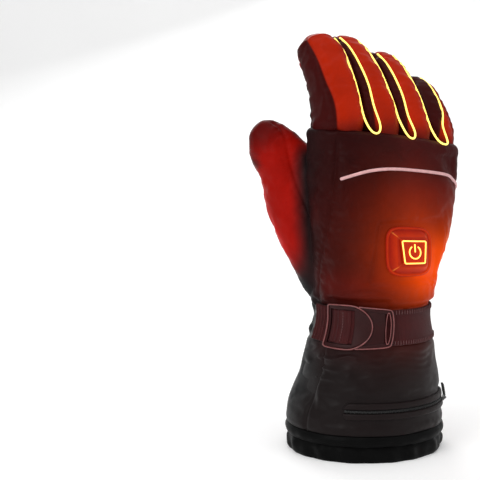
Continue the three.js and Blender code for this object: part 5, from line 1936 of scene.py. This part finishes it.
class GLOVE_OT_grip(bpy.types.Operator):
    """Make the embossed grip patch with its double stitching"""

    bl_idname = "glove.grip"
    bl_label = "Grip patch"

    def execute(self, context):
        def relief(along, up):
            edge = rounded_edge(up, 0.03) * rounded_edge(along, 0.04) - 1
            seams = -0.35 * (hill(up - 0.05, 0.01) + hill(up - 0.95, 0.01))
            return 0.7 * edge + seams

        sheet_piece(
            "palm_grip_leather",
            "palm_grip",
            grip_at,
            (120, 120),
            (0.0, ON_CLOTH + 1.0),
            (62, GRIP_TOP - GRIP_BOTTOM),
            "embossed_grip_leather",
            "grip_leather",
            relief,
        )
        share = np.linspace(0.03, 0.97, 120)
        rows = [
            stitch_row(grip_at(share, 0 * share + up, 1.6), 2.6, 1.8, 0.24)
            for up in (0.03, 0.07, 0.93, 0.97)
        ]
        joined_piece("palm_grip_stitches", rows, "spun_black_thread", "grip_leather")
        return {"FINISHED"}


def lathe(middle, axis, side, rings, sides=40):
    """Points and faces of a turned shape. rings are distances along the axis and radii."""
    axis, side = unit(np.asarray(axis, float)), unit(np.asarray(side, float))
    other = np.cross(axis, side)
    turn = np.linspace(0, 2 * math.pi, sides, endpoint=False)[:, None]
    circle = np.cos(turn) * side + np.sin(turn) * other
    points = np.concatenate([middle + axis * along + circle * max(radius, 0.01) for along, radius in rings])
    return points, grid_faces(len(rings), sides).tolist()


def fine_rings(rings, count=60):
    rows = np.array(rings, float)
    steps = steps_along(rows)
    at = np.unique(np.concatenate([np.linspace(0, steps[-1], count), steps]))
    return np.stack([np.interp(at, steps, rows[:, 0]), np.interp(at, steps, rows[:, 1])], -1)


def strip_mesh(line, side, width, thickness):
    """Points and faces of webbing with rounded edges along a line."""
    side = np.asarray(side, float)
    along = unit(np.gradient(line, axis=0))
    out = unit(np.cross(along, side))
    turn = np.linspace(0, 2 * math.pi, 24, endpoint=False)
    across = signed_power(np.cos(turn), 0.35) * width / 2
    deep = signed_power(np.sin(turn), 0.6) * thickness / 2
    points = line[:, None] + across[None, :, None] * side + deep[None, :, None] * out[:, None]
    faces = grid_faces(len(line), 24).tolist()
    count = len(line) * 24
    faces += [list(range(24)), list(range(count - 24, count))]
    return points.reshape(-1, 3), faces


def webbing_loop(name, node_name, line, side, width, thickness):
    points, faces = strip_mesh(line, side, width, thickness)
    place = (points - points.min(0)) * MM
    webbing = bpy.data.materials["woven_black_webbing"]
    piece = new_object(name, points, faces, webbing, {"cloth_place": place[:, [2, 0, 1]]}, "webbing")
    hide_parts(node_name)


class GLOVE_OT_fittings(bpy.types.Operator):
    """Make the cord loop, cord lock and the clip with its tab, and give the cord end its material"""

    bl_idname = "glove.fittings"
    bl_label = "Cord lock and clip"

    def execute(self, context):
        turn = math.radians(CORD_TURN)
        out, side = headings(turn)
        middle = lock_middle()
        rings = fine_rings(
            [
                (-8.25, 0),
                (-8.25, 2.4),
                (-7.8, 3),
                (-5.2, 3),
                (-4.9, 2.5),
                (-4.75, 2.5),
                (-4.75, 3.6),
                (-3.9, 4.4),
            ]
            + [(-2, 5), (0, 4.8), (2, 5), (3.2, 4.5), (4.75, 3.6), (4.75, 2.2), (3.9, 2.0), (3.9, 0)]
        )
        body = lathe(middle, (0, 0, 1), out, rings)
        eyelet_rings = [(3.6, 0), (3.6, 2.2), (5.1, 2.2), (5.25, 1.9), (5.1, 1.4), (4.4, 1.3), (4.4, 0)]
        eyelet = lathe(middle, out, (0, 0, 1), fine_rings(eyelet_rings, 30), 28)
        joined_piece("cord_lock_body", [body, eyelet], "moulded_black_nylon", "lock_plastic", "cord_lock")
        loop_top = middle[2] + LOCK_HALF_HEIGHT + GAP + 1.5

        def loop_point(up, reach):
            at_body = body_point(np.float64(loop_top + 28 * up), turn, ON_CLOTH + 0.75)
            return at_body + out * reach * LOCK_DIAMETER

        places = ((1, 0), (0.75, 0.25), (0.45, 0.75), (0.15, 0.9), (0, 0.5))
        route = [loop_point(up, reach) for up, reach in places]
        webbing_loop("cord_loop_webbing", "cord_loop", smooth_line(route, 60), side, 6, 1.5)
        clip_turn = math.radians(CLIP_TURN)
        clip_out, clip_side = headings(clip_turn)

        def tab(up, lift):
            return body_point(np.float64(WRIST_BOTTOM + up), clip_turn, ON_CLOTH + lift)

        route = [tab(share * 14, 0.7) for share in (-0.1, -0.3, -0.55, -0.8)]
        webbing_loop("clip_loop_webbing", "clip_loop", smooth_line(route, 40), clip_side, 8, 1.4)

        def wire(reach, up):
            return tab(-7, 1.4 + GAP + 1.5) + clip_out * reach * 9 + np.array([0, 0, up * 14])

        route = [wire(0, 0.5), wire(0, 0.05), wire(0.25, -0.35), wire(0.7, -0.4), wire(0.85, -0.1)]
        line = smooth_line(route, 70)
        share = np.linspace(0, 1, 70)
        radius = 1.5 * (1 - 0.25 * step(share, 0.8, 1.0)) * (1 + 0.12 * hill(share - 0.28, 0.05))
        tube_piece("glove_clip_hook", line, radius, "moulded_black_nylon", "lock_plastic", "glove_clip", 18)
        end = bpy.data.objects["cord_end"]
        end.data.materials.clear()
        end.data.materials.append(bpy.data.materials["moulded_black_nylon"])
        return {"FINISHED"}


# Camera, lights and floor

CAMERA_AZIMUTH = -38.0
CAMERA_REACH = 0.971
CAMERA_HEIGHT = 0.265
AIM_HEIGHT = 0.158
AIM_LEFT = 0.097
FOCAL_MM = 95.25
SENSOR_MM = 36.0

CORD_TURN = 115
CORD_DIAMETER = 2.5
LOCK_DIAMETER = 10
LOCK_HALF_HEIGHT = 4.75
CLIP_TURN = 108
CORD_ROUTE = (
    (0.0, 0.0, 0.0),
    (2.6, 0.0, 0.0),
    (5.2, 0.1, -0.1),
    (7.8, 0.4, -0.5),
    (10.3, 0.9, -1.2),
    (12.7, 1.6, -2.3),
    (14.9, 2.5, -3.8),
    (17.0, 3.5, -5.5),
    (19.1, 4.6, -7.3),
    (21.2, 5.8, -9.0),
    (23.4, 7.1, -10.6),
    (25.7, 8.5, -11.8),
    (28.1, 9.9, -12.6),
    (30.6, 11.3, -12.9),
    (33.1, 12.7, -12.95),
)


def aim(thing, target):
    heading = Vector(target) - thing.location
    thing.rotation_euler = heading.to_track_quat("-Z", "Y").to_euler()


def lock_middle():
    reach = ROLL_BULGE + ON_CLOTH + LOCK_DIAMETER / 2
    return body_point(np.float64(CUFF_BOTTOM - ROLL_HEIGHT / 2), math.radians(CORD_TURN), reach)


def cord_line():
    """Route of the drawcord in millimetres, from the lock's outer side to the floor."""
    turn = math.radians(CORD_TURN)
    out, side = headings(turn)
    start = lock_middle() + out * (LOCK_DIAMETER / 2 + GAP)
    route = np.array(CORD_ROUTE)
    return start + route[:, :1] * out + route[:, 1:2] * side + route[:, 2:] * [0, 0, 1]


class GLOVE_OT_camera(bpy.types.Operator):
    """Set up the camera before the glove's back, a little to the thumb's side"""

    bl_idname = "glove.camera"
    bl_label = "Camera"

    def execute(self, context):
        azimuth = math.radians(CAMERA_AZIMUTH)
        back = Vector((math.sin(azimuth), -math.cos(azimuth), 0))
        left = Vector((-math.cos(azimuth), -math.sin(azimuth), 0))
        camera = bpy.data.objects.new("camera", bpy.data.cameras.new("camera"))
        camera.data.lens = FOCAL_MM
        camera.data.sensor_width = SENSOR_MM
        camera.data.clip_start = 0.05
        camera.location = back * CAMERA_REACH + Vector((0, 0, CAMERA_HEIGHT))
        aim(camera, left * AIM_LEFT + Vector((0, 0, AIM_HEIGHT)))
        context.scene.collection.objects.link(camera)
        context.scene.camera = camera
        return {"FINISHED"}


class GLOVE_OT_drawcord(bpy.types.Operator):
    """Make the free drawcord on its route"""

    bl_idname = "glove.drawcord"
    bl_label = "Drawcord"

    def execute(self, context):
        route = cord_line()
        line = smooth_line(route, 90)
        points, faces = tube_mesh(line, CORD_DIAMETER / 2, sides=16)
        material = bpy.data.materials["braided_polyester_cord"]
        cord = new_object("drawcord_braid", points, faces, material, slot="drawcord_braid")
        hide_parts("drawcord")
        return {"FINISHED"}


class GLOVE_OT_stage(bpy.types.Operator):
    """Make the pale floor with its curved backdrop and the soft lights"""

    bl_idname = "glove.stage"
    bl_label = "Floor and lights"

    def execute(self, context):
        # smooth white paper, evenly lit from behind so that it stays white round the glove
        grained(
            "matt_studio_paper",
            "#f6f6f6",
            0.9,
            30,
            0.1,
            (0.99, 1.01),
            Emission_Color=(1.0, 1.0, 1.0),
            Emission_Strength=0.14,
        )
        context.scene.view_settings.view_transform = "Standard"
        azimuth = math.radians(CAMERA_AZIMUTH)
        back, side = headings(azimuth)
        bend = np.radians(np.linspace(0, 90, 16))
        profile = [(reach, 0.0) for reach in np.linspace(3000, -900, 14)]
        profile += [(-900 - 700 * math.sin(b), 700 * (1 - math.cos(b))) for b in bend[1:]]
        profile += [(-1600, height) for height in np.linspace(900, 4000, 8)]
        points = [
            reach * back + across * side + np.array([0, 0, height])
            for reach, height in profile
            for across in np.linspace(-4000, 4000, 9)
        ]
        mesh = bpy.data.meshes.new("backdrop")
        faces = grid_faces(len(profile), 9, closed=False)
        mesh.from_pydata((np.array(points) * MM).tolist(), [], faces.tolist())
        for face in mesh.polygons:
            face.use_smooth = True
        mesh.materials.append(bpy.data.materials["matt_studio_paper"])
        floor = bpy.data.objects.new("backdrop", mesh)
        context.scene.collection.objects.link(floor)
        world = bpy.data.worlds.new("studio")
        world.use_nodes = True
        world.node_tree.nodes["Background"].inputs["Color"].default_value = (1, 1, 1, 1)
        world.node_tree.nodes["Background"].inputs["Strength"].default_value = 0.42
        context.scene.world = world
        for name, azimuth, height, reach, size, power in (
            ("key_lamp", -75, 0.9, 1.3, 0.9, 9),
            ("fill_lamp", 30, 0.6, 1.5, 1.2, 4),
            ("top_lamp", -10, 1.6, 0.3, 1.0, 7),
            ("back_lamp", 160, 0.9, 1.3, 0.8, 7),
        ):
            lamp = bpy.data.lights.new(name, "AREA")
            lamp.size = size
            lamp.energy = power
            turn = math.radians(azimuth)
            thing = bpy.data.objects.new(name, lamp)
            thing.location = (reach * math.sin(turn), -reach * math.cos(turn), height)
            aim(thing, (0, 0, 0.15))
            context.scene.collection.objects.link(thing)
        return {"FINISHED"}


# Add-on

OPERATORS = (
    GLOVE_OT_camera,
    GLOVE_OT_drawcord,
    GLOVE_OT_fingers,
    GLOVE_OT_hand,
    GLOVE_OT_walls,
    GLOVE_OT_wires,
    GLOVE_OT_badge,
    GLOVE_OT_strap,
    GLOVE_OT_pocket,
    GLOVE_OT_grip,
    GLOVE_OT_fittings,
    GLOVE_OT_stage,
)


class GLOVE_PT_panel(bpy.types.Panel):
    """Sizes, colours and steps of the heated glove"""

    bl_idname = "GLOVE_PT_panel"
    bl_label = "Heated glove"
    bl_space_type = "VIEW_3D"
    bl_region_type = "UI"
    bl_category = "Glove"

    def draw(self, context):
        for group in (context.scene.glove_sizes, context.scene.glove_colours):
            for key in group.__annotations__:
                self.layout.prop(group, key)
        for operator in OPERATORS:
            self.layout.operator(operator.bl_idname)


CLASSES = (GLOVE_PG_sizes, GLOVE_PG_colours, *OPERATORS, GLOVE_PT_panel)


def register():
    for kind in CLASSES:
        bpy.utils.register_class(kind)
    bpy.types.Scene.glove_sizes = bpy.props.PointerProperty(type=GLOVE_PG_sizes)
    bpy.types.Scene.glove_colours = bpy.props.PointerProperty(type=GLOVE_PG_colours)


def unregister():
    del bpy.types.Scene.glove_colours
    del bpy.types.Scene.glove_sizes
    for kind in reversed(CLASSES):
        bpy.utils.unregister_class(kind)


def main():
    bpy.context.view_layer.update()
    register()
    make_materials()
    for operator in OPERATORS:
        group, name = operator.bl_idname.split(".")
        getattr(getattr(bpy.ops, group), name)()


if __name__ == "__main__":
    main()
